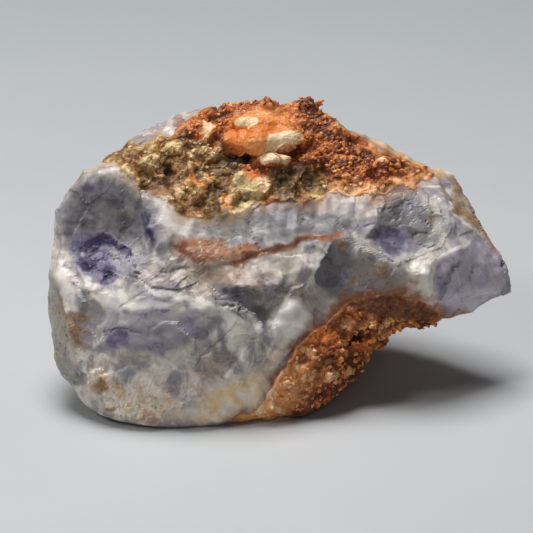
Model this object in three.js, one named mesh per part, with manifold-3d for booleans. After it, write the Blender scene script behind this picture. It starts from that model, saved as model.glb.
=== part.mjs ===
// Rough opal: a lump of milky violet opal that fills a palm, broken out of its rock.
// Glassy, shell-shaped breaks meet in sharp ridges on the front and on the wing at the right.
// A crumbly, iron-stained rind caps the top and clings to the lower right.
// Millimetres, +Z up, +X to the right and +Y away from the side that shows.

import * as THREE from "three";
import { ConvexGeometry } from "three/addons/geometries/ConvexGeometry.js";
import { ConvexHull } from "three/addons/math/ConvexHull.js";
import { ImprovedNoise } from "three/addons/math/ImprovedNoise.js";
import { mergeVertices } from "three/addons/utils/BufferGeometryUtils.js";
import Module from "manifold-3d";

// Driving dimensions
const LEAN = THREE.MathUtils.degToRad(21); // the front was drawn looking down on it by this much
const EYE = 450; // from that far away
const SIGHT = [-2, 19.3]; // with the eye level with this point of the drawing
const HEART = new THREE.Vector3(-3, 6, 19); // a point deep inside, which every part of the skin faces
const HALF_SIZE = new THREE.Vector3(36, 19, 20); // the lump's rough half length, depth and height
const LINE_STEP = 2.2; // spacing of the corners along a ridge
const SAME = 0.7; // corners closer than this are one
const MOST_ROUNDS = 6; // rounds in which lines get more corners until the net holds all their sides
const LONGEST_SIDE = { opal: 4.2, rind: 2.6 }; // longest side of a facet of the skin
const TURNING = { rounds: 12, gain: 0.93, least: 0.3 }; // when a side of the net is turned
const SETTLING = { turns: 500, pull: 0.45, hold: 0.12 }; // how the skin settles between its ridges
const FRONT_ENDS = -10; // the front drawing's outlines hold for what is nearer to the eye than this
const DISH = { depth: 1.9, reach: 6 }; // how far the breaks at the back are hollowed, away from their ridges
const LUMPS = { height: 2.5, size: 3.9, mean: 0.3 }; // the rind's swells, and what is taken off for them
const LUMPLETS = { share: 0.4, finer: 2.3 }; // smaller swells on those
const CRUMBS = { count: 40, least: 0.9, most: 2.1 }; // small lumps of the rind, and their half sizes
const CHIPPING = { least: 0.74, most: 1.14 }; // how far a lump's corners are knocked in or stand out
const BLOCK_SIDE = 1.6; // side of a block before its half sizes stretch it
const FOOT_HEIGHT = 2; // below this the skin keeps close to the ground, without hollows or crumbs
const FLOOR = 0; // height of the flat spot that the stone rests on
const GROUND = { width: 200, thick: 40 }; // what is cut away below the flat spot
const WELD = { forms: 1e-4, cuts: 0.015 }; // corners closer than this are one, before and after the cuts
const DICE = { first: 20641, factor: 16807, modulus: 2 ** 31 - 1 }; // for random numbers that stay the same
const COLOURS = { opal: 0xc9c6cf };

// A point of the front drawing: across, up, and out towards the eye, all in millimetres.
function seen([across, up, out]) {
  const nearness = 1 - out / EYE;
  const x = SIGHT[0] + (across - SIGHT[0]) * nearness;
  const v = SIGHT[1] + (up - SIGHT[1]) * nearness;
  return new THREE.Vector3(
    x,
    v * Math.sin(LEAN) - out * Math.cos(LEAN),
    v * Math.cos(LEAN) + out * Math.sin(LEAN),
  );
}

// The other way round: where a point of the part lies in the front drawing.
function drawn(point) {
  const out = point.z * Math.sin(LEAN) - point.y * Math.cos(LEAN);
  const v = point.z * Math.cos(LEAN) + point.y * Math.sin(LEAN);
  const nearness = 1 - out / EYE;
  return [SIGHT[0] + (point.x - SIGHT[0]) / nearness, SIGHT[1] + (v - SIGHT[1]) / nearness, out];
}

// A point of the back or underside, in the part's own frame.
const behind = ([x, y, z]) => new THREE.Vector3(x, y, z);

// Ridges and edges of the front, each a line of drawn points. A sharp one is a crease.
const FRONT_LINES = [
  { name: "left side", sharp: false, at: [
    [-27.9, -3, 10], [-29.9, -1.5, 8], [-31.3, 0.9, 6.5], [-33.2, 3.3, 5], [-33.9, 5.7, 4], [-34.4, 9, 3],
    [-35, 12.8, 2.5], [-35.1, 16.6, 2.5], [-34.5, 20.4, 3], [-33.9, 22.4, 3.5], [-33.8, 26.2, 4],
    [-33.5, 27.9, 4], [-31.8, 30.8, 3.5], [-30.8, 32.9, 3], [-29.9, 34, 2]] },
  { name: "left shoulder", sharp: false, at: [[-29.9, 34, 2], [-26.2, 36, 0], [-23.7, 38.1, -2]] },
  { name: "clear ledge rim", sharp: true, at: [
    [-23.7, 38.1, -2], [-21, 40.3, -5], [-17.4, 41.6, -8], [-13.6, 44, -10], [-10, 43.6, -9]] },
  { name: "rind skyline", sharp: false, at: [
    [-10, 43.6, -9], [-6.9, 42.9, -7], [-3.6, 44.5, -6], [1.7, 44.1, -5], [6.3, 44.2, -5]] },
  { name: "right rim", sharp: true, at: [
    [6.3, 44.2, -5], [9.6, 40.8, -5], [14.1, 38.9, -6], [19.9, 36.2, -7], [22.8, 34.7, -7], [25.2, 34.6, -8],
    [26.8, 32.4, -7], [29, 28.8, -5], [31.6, 24, -3], [34.2, 20, -2], [34.6, 18.1, -2], [35.2, 15.2, -2]] },
  { name: "under the wing", sharp: true, at: [
    [35.2, 15.2, -2], [31.8, 13.8, 0], [28.5, 11.6, 1], [26.1, 11, 2], [22.8, 11.6, 4], [20.6, 11.7, 4.5],
    [17, 10.5, 6]] },
  { name: "rind foot", sharp: false, at: [
    [17, 10.5, 6], [14.4, 7.8, 6], [11.6, 5.1, 6], [11.2, 3, 6], [8.4, 0.6, 6.5], [6.3, -1.5, 8],
    [0.8, -2.2, 10], [-4, -3, 11], [-8.3, -4.2, 12]] },
  { name: "front foot", sharp: false, at: [
    [-8.3, -4.2, 12], [-12.6, -4.4, 12], [-18.3, -4.9, 12.5], [-25.5, -3.7, 11], [-27.9, -3, 10]] },
  { name: "flank ridge", sharp: true, at: [
    [-34.5, 20.4, 3], [-33.9, 17.1, 6], [-33, 15, 7.5], [-32.5, 12.9, 8.5], [-32.4, 11, 9], [-32.5, 8.6, 9],
    [-32.4, 5.9, 9], [-31.5, 3.5, 9], [-30.3, 1.7, 9.5], [-29, -0.8, 10], [-27.9, -3, 10]] },
  { name: "white notch", sharp: true, at: [
    [-34.5, 20.4, 3], [-32.4, 19.8, 6.6], [-30.8, 19.6, 8.6], [-29.4, 16.9, 10.9], [-28.3, 14.6, 12]] },
  { name: "scoop top", sharp: true, at: [
    [-30.9, 31.8, 3.4], [-30, 31.3, 4.5], [-28.4, 33, 4], [-26.6, 33.5, 4], [-23.1, 34.3, 4],
    [-22.2, 32.6, 5], [-21.3, 30.7, 6.5], [-19.8, 28.4, 8.5]] },
  { name: "white bulge", sharp: true, at: [
    [-19.8, 28.4, 8.5], [-19.1, 27, 9.5], [-18.3, 25.8, 10.3], [-17.7, 24.6, 10.8], [-16.9, 22.9, 11.2]] },
  { name: "first shell lip", sharp: true, at: [
    [-21.5, 20, 9.5], [-19.8, 20.6, 10.5], [-18, 21.8, 11], [-16.9, 22.9, 11.2]] },
  { name: "second shell lip", sharp: true, at: [[-19.8, 18.9, 11], [-17.4, 19.7, 11.8], [-15.5, 19.1, 12]] },
  { name: "boss brow", sharp: true, at: [
    [-22.7, 18.4, 11], [-20.8, 17.4, 12], [-18.8, 16.2, 12.7], [-17.2, 16, 13], [-13.6, 16, 13.2],
    [-11.9, 15, 13.4], [-10.5, 14.1, 13.5], [-8.1, 13.8, 13.5], [-6.2, 13.1, 13.4], [-4.7, 11.9, 13.3],
    [-3.5, 10.5, 13.2], [-2.9, 9.3, 13]] },
  { name: "lobe crease", sharp: true, at: [
    [-2.9, 9.3, 13], [-4.5, 8.1, 12.9], [-6.5, 5.9, 12.9], [-9, 2.7, 13.3]] },
  { name: "boss foot", sharp: true, at: [
    [-29.4, 3.3, 11.5], [-27, 3.2, 12.5], [-24.6, 4.2, 13.5], [-21.9, 5, 14.2], [-19.4, 5.3, 14.6],
    [-17.2, 4.1, 14.4], [-14.6, 2.6, 14.2], [-11.7, 2.1, 13.8], [-9, 2.7, 13.3]] },
  { name: "amber lobe", sharp: true, at: [
    [-14.6, 2.6, 14.2], [-13.6, -0.5, 14], [-11.7, -2.4, 13.5], [-8.9, -4.2, 12.4]] },
  { name: "stained ridge", sharp: true, at: [
    [-16.9, 22.9, 11.2], [-12.8, 21.8, 11.3], [-9.8, 21, 11.2], [-6.5, 20.3, 11], [-2.7, 21.3, 10.2],
    [1.5, 22.2, 9.5], [6, 23.6, 9], [8.6, 23.9, 8.8]] },
  { name: "hollow brow", sharp: true, at: [
    [-9.8, 19.1, 11.8], [-6.8, 18.5, 12], [-5.3, 17.9, 12], [-3.5, 17.1, 11.8], [-2, 17.4, 11.3],
    [-0.5, 16.5, 11], [0.8, 16.1, 10.8], [3.5, 15.5, 10.2]] },
  { name: "tent left", sharp: true, at: [
    [8.6, 23.9, 8.8], [7.7, 23, 8.8], [6.6, 21.5, 9], [5.5, 20.2, 9.3], [5, 19.2, 9.6], [4.4, 17.3, 9.8],
    [3.5, 15.5, 10.2]] },
  { name: "tent top", sharp: true, at: [
    [8.6, 23.9, 8.8], [11, 23.6, 8.6], [12.2, 22.5, 8.8], [14.2, 21.7, 9], [16.2, 20.9, 9.1],
    [18, 19.5, 9.3], [19.9, 18.8, 9.3], [22.7, 17.7, 9.1]] },
  { name: "band end", sharp: true, at: [
    [15, 30, 4.5], [15.5, 27.7, 6.3], [14.9, 26, 7], [14.5, 24.3, 7.5], [12.2, 22.5, 8.8]] },
  { name: "wing brow", sharp: true, at: [
    [22.7, 17.7, 9.1], [22.7, 19.5, 8.4], [23.4, 20.2, 7.8], [25.9, 21.3, 6.3], [28.5, 22.6, 3.8],
    [29.4, 24, 1.5], [30.8, 24.4, -1.3]] },
  { name: "wing keel", sharp: true, at: [
    [22.7, 17.7, 9.1], [22.7, 15.5, 8.6], [22.8, 12.8, 6.5], [22.8, 11.6, 4]] },
  { name: "rim inner edge", sharp: true, at: [
    [23.2, 33.5, -4.5], [24.1, 31.8, -3], [24.8, 30.6, -2], [25.9, 29.5, -1], [26.6, 27.9, -0.5],
    [28.8, 26.6, -1], [30.8, 24.4, -1.3], [31.9, 23.3, -2]] },
  { name: "layered band", sharp: true, at: [
    [8, 42.3, -3.5], [9.9, 40, -3], [12, 38.1, -3], [15.1, 36.9, -3.5], [19.2, 34.9, -4], [21.8, 32.8, -3.5],
    [23.2, 33.5, -4.5]] },
];

// Ridges of the back and underside, in the part's own frame.
const BACK_LINES = [
  { name: "back spine", sharp: true, at: [
    [-13.6, 25.1, 37.5], [-12.5, 28, 31], [-9, 30.5, 24], [-4, 29, 16], [0, 25, 9], [2, 18, 3]] },
  { name: "back brow", sharp: true, at: [
    [22.8, 18.9, 29.9], [19, 24.5, 26], [12, 28, 22.5], [3, 29.5, 21.5], [-9, 30.5, 24]] },
  { name: "back keel", sharp: true, at: [
    [35.2, 7.3, 13.5], [30, 12.5, 13], [24, 18, 12.5], [17, 22.5, 11.5], [9, 25, 10], [0, 25, 9]] },
  { name: "back left ridge", sharp: true, at: [
    [-29.9, 10.3, 32.5], [-27.5, 17.5, 28], [-24.5, 22.5, 21], [-20.5, 23.5, 13.5], [-16, 20, 6.5],
    [-12, 14.5, 0.5]] },
  { name: "left corner", sharp: true, at: [
    [-27.5, 17.5, 28], [-31.5, 13.5, 21], [-33, 9, 13.5], [-31.5, 4, 6.5], [-27.5, 0, 1]] },
  { name: "foot", sharp: false, at: [
    [-24, -8.5, -0.2], [-25, -2, -0.2], [-22, 6, -0.2], [-12, 13, -0.2], [-2, 14.5, -0.2], [6, 9, -0.2],
    [8, 2, -0.2], [4, -6, -0.2], [-5, -9.5, -0.2], [-14, -11.5, -0.2], [-24, -8.5, -0.2]] },
];

// Places that the skin passes through smoothly, on the front.
const FRONT_DABS = {
  rind: [
    [-4.5, 29.3, 6.5], [-10.5, 28.5, 7], [-7.5, 32.3, 4.5], [-1.5, 31.5, 4], [4.5, 30.8, 4], [10.5, 31.5, 3],
    [16.5, 31.5, 1.5], [20.3, 32, -0.5], [-4.5, 36.8, 1], [3, 36.8, 0], [-12, 36.8, 1], [-12, 33, 4],
    [-17.3, 33.8, 3.5], [-16.5, 30, 6.5], [-19.5, 35.3, 2.5], [10.5, 36.8, -0.5], [15, 34.5, -1],
    [-3.8, 42, -3.5], [3, 42, -3], [-9.8, 40.5, -4], [-15, 38.3, -3], [-19.5, 38, -3]],
  band: [
    [-16.5, 27, 9.8], [-13.5, 25.5, 10.2], [-9.8, 24.8, 9.7], [-4.5, 25.5, 8.7], [1.5, 26.3, 7.8],
    [7.5, 27, 7.3], [12, 27, 7.3]],
  scoop: [
    [-25.5, 29.3, 4], [-27, 25.5, 4], [-24, 25.5, 3.8], [-29.3, 27, 4.2], [-31.5, 25.5, 4.5],
    [-22.5, 27.5, 4.6], [-21, 24.6, 5.6], [-21.5, 23, 6.1], [-19.4, 21.7, 8], [-18.3, 23, 8.8]],
  pocket: [[-28, 22, 4.6], [-25.5, 19.8, 6.6], [-24, 17, 9.4], [-27.4, 17.6, 8.6]],
  shells: [[-18.6, 19.3, 9.8], [-16.2, 20.6, 10.6], [-17, 17.6, 11.4], [-13, 18.5, 12.2]],
  hollow: [
    [-11.4, 16.8, 11.6], [-9.6, 16, 10.6], [-7.5, 15.4, 9.6], [-5, 14.7, 8.6], [-2.4, 13.8, 8.6],
    [-0.8, 12, 9.8]],
  whiteLobe: [[1.5, 13.5, 11.3], [1.8, 10.5, 11.9], [0.8, 7.5, 12.2], [4.5, 11.3, 10.3]],
  tent: [
    [7.2, 20, 6.7], [7.2, 17, 6.4], [6.3, 14.3, 7.3], [10.5, 20.6, 8.2], [12.8, 18, 8.8], [15, 16.5, 8.8],
    [19, 16, 8.7], [21.2, 15.8, 8.5]],
  rightFace: [
    [17, 28.3, 4.2], [18.3, 27, 4], [19.5, 26, 4.4], [17.6, 22.8, 5.8], [19.5, 21.8, 6.2], [16, 24, 5.9],
    [21.8, 27, 5], [24, 29.3, 3.2], [20.3, 30, 3], [23.3, 24, 5.8], [26.3, 24.5, 3.6], [21, 20.6, 7.9]],
  wing: [[28.5, 17.3, 4.4], [25.5, 15, 5.8], [32.3, 18, 1.7], [31.5, 15, 1.2], [27, 19.5, 5.6]],
  boss: [
    [-27, 14, 12.7], [-25.5, 8.3, 13.2], [-19.5, 12.8, 14.6], [-19.5, 8.3, 15.4], [-12, 11.3, 15.2],
    [-12, 6, 15.3], [-6.8, 9.8, 14.2]],
  foot: [
    [-6, -0.8, 12.4], [-5.3, 3.8, 13], [-2.3, 4.5, 12.6], [-25, 0.4, 11.8], [-19.5, -0.6, 12.6],
    [-16.5, 0.8, 13], [-12, 0, 13.4]],
  lowerRind: [
    [1.5, 3, 12], [4.5, 6.8, 10.2], [7.5, 8.3, 9], [10.5, 12, 8], [15, 13.5, 8], [19.5, 13.8, 7.8],
    [7.5, 2.3, 9.5], [-1.5, -0.8, 11.6]],
};

// The same for the back and underside.
const BACK_DABS = {
  sole: [[-10, 1, -1.6], [0, 2, -1.6], [-18, -2, -1.6], [-10, -6, -1.4], [-8, 8, -1.4]],
  leftFlank: [[-34, 7.5, 20], [-28, 15, 13], [-27, 10, 5.5], [-31.5, 10, 25]],
  leftBack: [[-18, 22.5, 26], [-12, 23.5, 13], [-20.5, 19, 32.5], [-6, 20, 4.5]],
  topBack: [[0, 24.5, 33], [10, 21.5, 32], [-5, 25, 36], [3, 26, 27.5]],
  rightBack: [[12, 24.5, 16.5], [22, 19.5, 19], [28.5, 14.5, 19.5], [0, 26.5, 16]],
  wingUnderside: [
    [12, 2, 4.5], [10, 11, 3.2], [16, 4, 8.3], [16, 13, 7.4], [22, 6, 10], [22, 12, 10], [28, 8, 11.8]],
};

// Where the crumbly rind lies: outlines on the front drawing, and balls (x, y, z, radius) for the rest.
const RIND_OUTLINES = {
  cap: [
    [-31, 33.5], [-29.9, 34.1], [-27, 35.3], [-23, 34.4], [-22.1, 32.3], [-20.3, 30.5], [-18, 30],
    [-16.5, 28.5], [-14.3, 27.5], [-11.3, 26.6], [-8.3, 27.2], [-6, 28.1], [-2.7, 28.8], [1.5, 29.3],
    [3.8, 28.5], [6, 29.6], [8.3, 30.8], [10.8, 30.5], [13.5, 29.6], [15.8, 30], [18, 31.8], [20.3, 31.8],
    [22.2, 32.6], [23.1, 33.7], [19.4, 35], [16.2, 36.5], [12.2, 38.6], [8.7, 40.5], [7.5, 46], [-9.5, 46],
    [-10.5, 43.6], [-13.1, 42.1], [-14.7, 40.6], [-15.5, 39.3], [-17.7, 39], [-20, 38.3], [-22.4, 37.8],
    [-24.5, 38.4], [-29, 36.5]],
  foot: [
    [24.5, 10.8], [24, 11.9], [22.5, 12.9], [20.3, 14.3], [18, 14.7], [15.8, 14.3], [12, 14.3], [9.8, 13.8],
    [7.5, 11.6], [6, 9.8], [3.8, 7.5], [1.5, 5.3], [-0.5, 2.3], [-2.7, -0.8], [-5.3, -2.6], [-6.8, -3.5],
    [-7, -12], [30, -12], [30, 10]],
};
const RIND_BALLS = [
  [-2, 26, 39, 9], [7, 22, 37, 8], [-11, 27, 37, 5], [3, 28, 33, 5], [12, 21, 33, 5], [14, 17, 7, 8],
  [5, 24, 5, 8], [21, 16, 11, 5],
];

// Larger lumps and blocks that stand out of the rind, by their place on the front drawing.
// half is the half size across, up and outwards. turn is about the way out, in degrees.
const CHUNKS = [
  { at: [-1.4, 39.4], half: [4.1, 3.3, 2.1], turn: 8, block: true },
  { at: [-4.9, 40.4], half: [1.9, 1.6, 1.9], turn: 30, block: true },
  { at: [-0.9, 35], half: [2.6, 1, 1.2], turn: -8, block: true },
  { at: [-3.9, 31.8], half: [2.8, 1.9, 1.8], turn: -20 },
  { at: [-7.2, 30.3], half: [1.3, 1.8, 1.3], turn: 15 },
  { at: [-11, 39.9], half: [1.4, 1.9, 1.3], turn: 10, block: true },
  { at: [-10.7, 32.3], half: [1.6, 1.4, 1.3], turn: 0 },
  { at: [-8.4, 28.6], half: [1.2, 2, 1.3], turn: 12 },
  { at: [-13.2, 33], half: [1.3, 1.7, 1.1], turn: -15 },
  { at: [-14.8, 30], half: [1.6, 1.2, 1.2], turn: 20 },
  { at: [-18, 33.2], half: [1.5, 1.2, 1], turn: 0 },
  { at: [-20.1, 33.6], half: [1.1, 0.9, 0.8], turn: 0 },
  { at: [-7.8, 37.6], half: [1.7, 1.5, 1.2], turn: 40 },
  { at: [5.5, 36], half: [2.2, 1.6, 1.2], turn: 25 },
  { at: [4.2, 40.8], half: [2.4, 1.7, 1.3], turn: -20 },
  { at: [9, 34.6], half: [1.7, 1.4, 1.1], turn: 10 },
  { at: [12.9, 32.2], half: [1.7, 1.2, 1.1], turn: 0 },
  { at: [15, 35.4], half: [1.4, 1, 0.9], turn: -30 },
  { at: [3, 31.6], half: [2, 1.1, 1], turn: -5 },
  { at: [15.4, 9.8], half: [1.6, 1.3, 1.2], turn: 20, block: true },
  { at: [12.6, 10.6], half: [1, 0.7, 0.8], turn: 0, block: true },
  { at: [9.3, 6.3], half: [1.8, 1.3, 1.2], turn: 35 },
  { at: [4.5, 6.6], half: [1.3, 1.1, 0.9], turn: 0 },
  { at: [3.3, 3.7], half: [1.4, 1.2, 1], turn: 60 },
  { at: [7.6, 2.9], half: [1.4, 1.2, 1.1], turn: 0 },
  { at: [9.8, 3.6], half: [1.1, 1, 0.9], turn: 20 },
  { at: [0.8, 0.6], half: [1.4, 1.1, 1], turn: -20 },
];

// Pits broken into the rind, given like the chunks.
const PITS = [
  { at: [-6.2, 35.8], half: [2.2, 0.9, 1.3], turn: -5 },
  { at: [-16.4, 33.4], half: [0.9, 0.8, 0.9], turn: 0 },
  { at: [-9.2, 35], half: [1.1, 0.9, 0.9], turn: 30 },
  { at: [2, 33.8], half: [1.6, 0.8, 0.9], turn: 0 },
  { at: [11.3, 8.8], half: [1.9, 1.3, 1.5], turn: 15 },
  { at: [6.2, 5], half: [0.9, 0.9, 0.9], turn: 0 },
  { at: [26.7, 27.9], half: [0.9, 0.7, 0.8], turn: 0 },
];

// Whether a place on the drawing lies inside an outline.
function inside([across, up], outline) {
  let within = false;
  outline.forEach(([x, y], i) => {
    const [px, py] = outline.at(i - 1);
    if (y > up !== py > up && across < ((px - x) * (up - y)) / (py - y) + x) within = !within;
  });
  return within;
}

function isRind(point) {
  const [across, up, out] = drawn(point);
  const outlined = Object.values(RIND_OUTLINES).some((outline) => inside([across, up], outline));
  if (out > FRONT_ENDS && outlined) return true;
  return RIND_BALLS.some(([x, y, z, radius]) => point.distanceTo(new THREE.Vector3(x, y, z)) < radius);
}

// The number of the corner at a point. Corners that all but coincide are one.
function corner(skin, point) {
  const known = skin.points.findIndex((other) => other.distanceTo(point) < SAME);
  return known < 0 ? skin.points.push(point) - 1 : known;
}

// The name of a side of the net, from the numbers of its two corners, and the other way round.
const side = (a, b) => Math.min(a, b) + "," + Math.max(a, b);
const cornersOf = (key) => key.split(",").map(Number);

// Lays a line of corners along a ridge, and notes its sides, which stay sides of the net.
function addLine(skin, { sharp, at }, place) {
  const curve = new THREE.CatmullRomCurve3(at.map(place), false, "centripetal");
  const steps = Math.max(1, Math.round(curve.getLength() / LINE_STEP));
  const line = curve.getSpacedPoints(steps).map((point) => corner(skin, point));
  for (let i = 1; i < line.length; i++) {
    const [a, b] = [line[i - 1], line[i]];
    if (a !== b) skin.sides.set(side(a, b), { a, b, sharp });
  }
}

// Joins the corners into a closed net: seen from the heart they lie on a sphere, and its hull is the net.
function hullNet(points) {
  const directions = points.map((p) => p.clone().sub(HEART).divide(HALF_SIZE).normalize());
  const number = new Map(directions.map((direction, i) => [direction, i]));
  return new ConvexHull().setFromPoints(directions).faces.map((face) =>
    [face.edge, face.edge.next, face.edge.prev].map((edge) => number.get(edge.head().point)));
}

// Nets the corners, and puts one more in the middle of each line's side that the net leaves out.
function net(skin) {
  for (let round = 0; ; round++) {
    const triangles = hullNet(skin.points);
    const present = new Set(triangles.flatMap(([a, b, c]) => [side(a, b), side(b, c), side(c, a)]));
    const missing = [...skin.sides.entries()].filter(([key]) => !present.has(key));
    if (!missing.length || round === MOST_ROUNDS) return triangles;
    for (const [key, { a, b, sharp }] of missing) {
      const middle = skin.points.push(skin.points[a].clone().lerp(skin.points[b], 0.5)) - 1;
      skin.sides.delete(key);
      skin.sides.set(side(a, middle), { a, b: middle, sharp });
      skin.sides.set(side(middle, b), { a: middle, b, sharp });
    }
  }
}

const turned = (three, by) => three.map((_, i) => three[(i + by) % 3]);

// Splits every side that is too long in two, again and again, and keeps the net closed.
function refine(skin, triangles) {
  for (;;) {
    const middles = new Map();
    const middle = (a, b) => {
      const halfway = skin.points[a].clone().lerp(skin.points[b], 0.5);
      const longest = isRind(halfway) ? LONGEST_SIDE.rind : LONGEST_SIDE.opal;
      if (skin.points[a].distanceTo(skin.points[b]) <= longest) return -1;
      const key = side(a, b);
      if (!middles.has(key)) {
        const added = skin.points.push(halfway) - 1;
        middles.set(key, added);
        const line = skin.sides.get(key);
        if (line) {
          skin.sides.set(side(a, added), line);
          skin.sides.set(side(added, b), line);
        }
      }
      return middles.get(key);
    };
    triangles = triangles.flatMap(([a, b, c]) => {
      const halves = [middle(a, b), middle(b, c), middle(c, a)];
      const whole = halves.filter((half) => half < 0).length;
      if (whole === 3) return [[a, b, c]];
      if (whole === 0) {
        const [ab, bc, ca] = halves;
        return [[a, ab, ca], [ab, b, bc], [ca, bc, c], [ab, bc, ca]];
      }
      // Turned so that the first side is split, and the second too where two are.
      const split = halves.findIndex((half) => half >= 0);
      const unsplit = halves.findIndex((half) => half < 0);
      const first = whole === 2 ? split : unsplit + 1;
      const [p, q, r] = turned([a, b, c], first);
      const [pq, qr] = turned(halves, first);
      return whole === 2 ? [[p, pq, r], [pq, q, r]] : [[p, pq, r], [pq, qr, r], [pq, q, qr]];
    });
    if (!middles.size) return triangles;
  }
}

// For each corner, the corners that it shares a side with.
function neighbours(count, triangles) {
  const around = Array.from({ length: count }, () => new Set());
  for (const [a, b, c] of triangles) {
    around[a].add(b).add(c);
    around[b].add(c).add(a);
    around[c].add(a).add(b);
  }
  return around.map((set) => [...set]);
}

// How far each value lies from the mean of its neighbours.
function bend(values, around) {
  return values.map((value, i) => {
    const mean = new THREE.Vector3();
    for (const j of around[i]) mean.add(values[j]);
    return mean.divideScalar(around[i].length).sub(value);
  });
}

// Turns sides of the net that are longer than they need be, where that leaves the skin as smooth.
function turnSides(skin, triangles) {
  for (let round = 0; round < TURNING.rounds; round++) {
    const sides = new Map();
    triangles.forEach((triangle, t) => triangle.forEach((_, i) => {
      const [a, b, far] = turned(triangle, i);
      const key = side(a, b);
      sides.set(key, [...(sides.get(key) ?? []), { t, far, a, b }]);
    }));
    const touched = new Set();
    for (const [key, [{ a, b, far: c, t }, { far: d, t: u }]] of [...sides]) {
      if (skin.sides.has(key) || sides.has(side(c, d)) || touched.has(t) || touched.has(u)) continue;
      const [pa, pb, pc, pd] = [a, b, c, d].map((i) => skin.points[i]);
      if (pc.distanceTo(pd) > TURNING.gain * pa.distanceTo(pb)) continue;
      const before = new THREE.Triangle(pa, pb, pc).getNormal(new THREE.Vector3());
      const after = [new THREE.Triangle(pd, pc, pa), new THREE.Triangle(pc, pd, pb)];
      if (after.some((one) => one.getNormal(new THREE.Vector3()).dot(before) < TURNING.least)) continue;
      sides.set(side(c, d), []);
      touched.add(t).add(u);
      triangles[t] = [d, c, a];
      triangles[u] = [c, d, b];
    }
    if (!touched.size) return;
  }
}

// The corners that lie on sharp lines.
function sharpCorners(skin) {
  return new Set([...skin.sides].filter(([, line]) => line.sharp).flatMap(([key]) => cornersOf(key)));
}

// Lets the skin settle like a springy sheet, hinged along its ridges and held softly at its dabs.
function settle(skin, triangles, held) {
  const around = neighbours(skin.points.length, triangles);
  const first = skin.points.map((point) => point.clone());
  const hinge = sharpCorners(skin);
  const pinned = new Set([...skin.sides.keys()].flatMap(cornersOf));
  for (let turn = 0; turn < SETTLING.turns; turn++) {
    const bends = bend(skin.points, around).map((b, i) => (hinge.has(i) ? new THREE.Vector3() : b));
    const change = bend(bends, around);
    skin.points.forEach((point, i) => {
      if (pinned.has(i)) return;
      point.addScaledVector(change[i], -SETTLING.pull);
      if (i < held) point.lerp(first[i], SETTLING.hold);
    });
  }
}

// The outward direction of the skin at each corner.
function outwards(points, triangles) {
  const normals = points.map(() => new THREE.Vector3());
  for (const [a, b, c] of triangles) {
    const across = points[b].clone().sub(points[a]).cross(points[c].clone().sub(points[a]));
    for (const i of [a, b, c]) normals[i].add(across);
  }
  return normals.map((normal) => normal.normalize());
}

const noise = new ImprovedNoise();

// Hollows the breaks of the back between their ridges, and gives the rind its lumps.
function roughen(skin, triangles) {
  const ways = outwards(skin.points, triangles);
  const crests = [...sharpCorners(skin)].map((i) => skin.points[i]);
  return skin.points.map((point, i) => {
    const out = drawn(point)[2];
    if (isRind(point)) {
      const { x, y, z } = point.clone().divideScalar(LUMPS.size);
      const { share, finer } = LUMPLETS;
      const lump = Math.abs(noise.noise(x, y, z)) + share * noise.noise(finer * x, finer * y, finer * z);
      return point.clone().addScaledVector(ways[i], LUMPS.height * (lump - LUMPS.mean));
    }
    if (out > FRONT_ENDS || point.z < FOOT_HEIGHT) return point;
    const clear = Math.min(...crests.map((crest) => crest.distanceTo(point)));
    return point.clone().addScaledVector(ways[i], -DISH.depth * (1 - Math.exp(-clear / DISH.reach) ** 2));
  });
}

function makeSkin() {
  const skin = { points: [], sides: new Map() };
  for (const line of FRONT_LINES) addLine(skin, line, seen);
  for (const line of BACK_LINES) addLine(skin, line, behind);
  for (const dab of Object.values(FRONT_DABS).flat()) corner(skin, seen(dab));
  for (const dab of Object.values(BACK_DABS).flat()) corner(skin, behind(dab));
  const coarse = net(skin);
  const held = skin.points.length;
  const triangles = refine(skin, coarse);
  turnSides(skin, triangles);
  settle(skin, triangles, held);
  return { points: roughen(skin, triangles), triangles };
}

// Random numbers from 0 to 1, the same ones every time.
let thrown = DICE.first;
function chance() {
  thrown = (thrown * DICE.factor) % DICE.modulus;
  return thrown / DICE.modulus;
}
const between = (low, high) => low + (high - low) * chance();

// The skin's corner that shows at a place of the front drawing.
function cornerAt([across, up], points, ways) {
  const eye = seen([across, up, EYE]);
  let best = -1;
  let least = Infinity;
  points.forEach((point, i) => {
    const [x, y, out] = drawn(point);
    if (out < FRONT_ENDS || ways[i].dot(eye.clone().sub(point)) < 0) return;
    const gap = Math.hypot(x - across, y - up);
    if (gap < least) [best, least] = [i, gap];
  });
  return best;
}

// An angular lump, or a block with flat faces, seated on the skin.
function lump(point, way, { half, turn, block = false }) {
  const box = new THREE.BoxGeometry(BLOCK_SIDE, BLOCK_SIDE, BLOCK_SIDE);
  const ball = new THREE.IcosahedronGeometry(1, 0);
  const form = (block ? box : ball).attributes.position;
  const corners = new Map();
  for (let i = 0; i < form.count; i++) {
    const place = new THREE.Vector3().fromBufferAttribute(form, i);
    const name = place.toArray().map((n) => n.toFixed(2)).join();
    if (!corners.has(name)) corners.set(name, place.multiplyScalar(between(CHIPPING.least, CHIPPING.most)));
  }
  const x = new THREE.Vector3(1, 0, 0).projectOnPlane(way).normalize();
  const frame = new THREE.Matrix4().makeBasis(x, way.clone().cross(x), way);
  const upright = new THREE.Vector3(0, 0, 1);
  for (const place of corners.values()) {
    place.multiply(new THREE.Vector3(...half)).applyAxisAngle(upright, THREE.MathUtils.degToRad(turn));
    place.applyMatrix4(frame).add(point);
  }
  return new ConvexGeometry([...corners.values()]);
}

const wasm = await Module();
wasm.setup();

function solid(geometry) {
  geometry.deleteAttribute("normal");
  geometry.deleteAttribute("uv");
  const merged = mergeVertices(geometry, WELD.forms);
  return new wasm.Manifold(new wasm.Mesh({
    numProp: 3,
    vertProperties: new Float32Array(merged.attributes.position.array),
    triVerts: new Uint32Array(merged.index.array),
  }));
}

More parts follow.
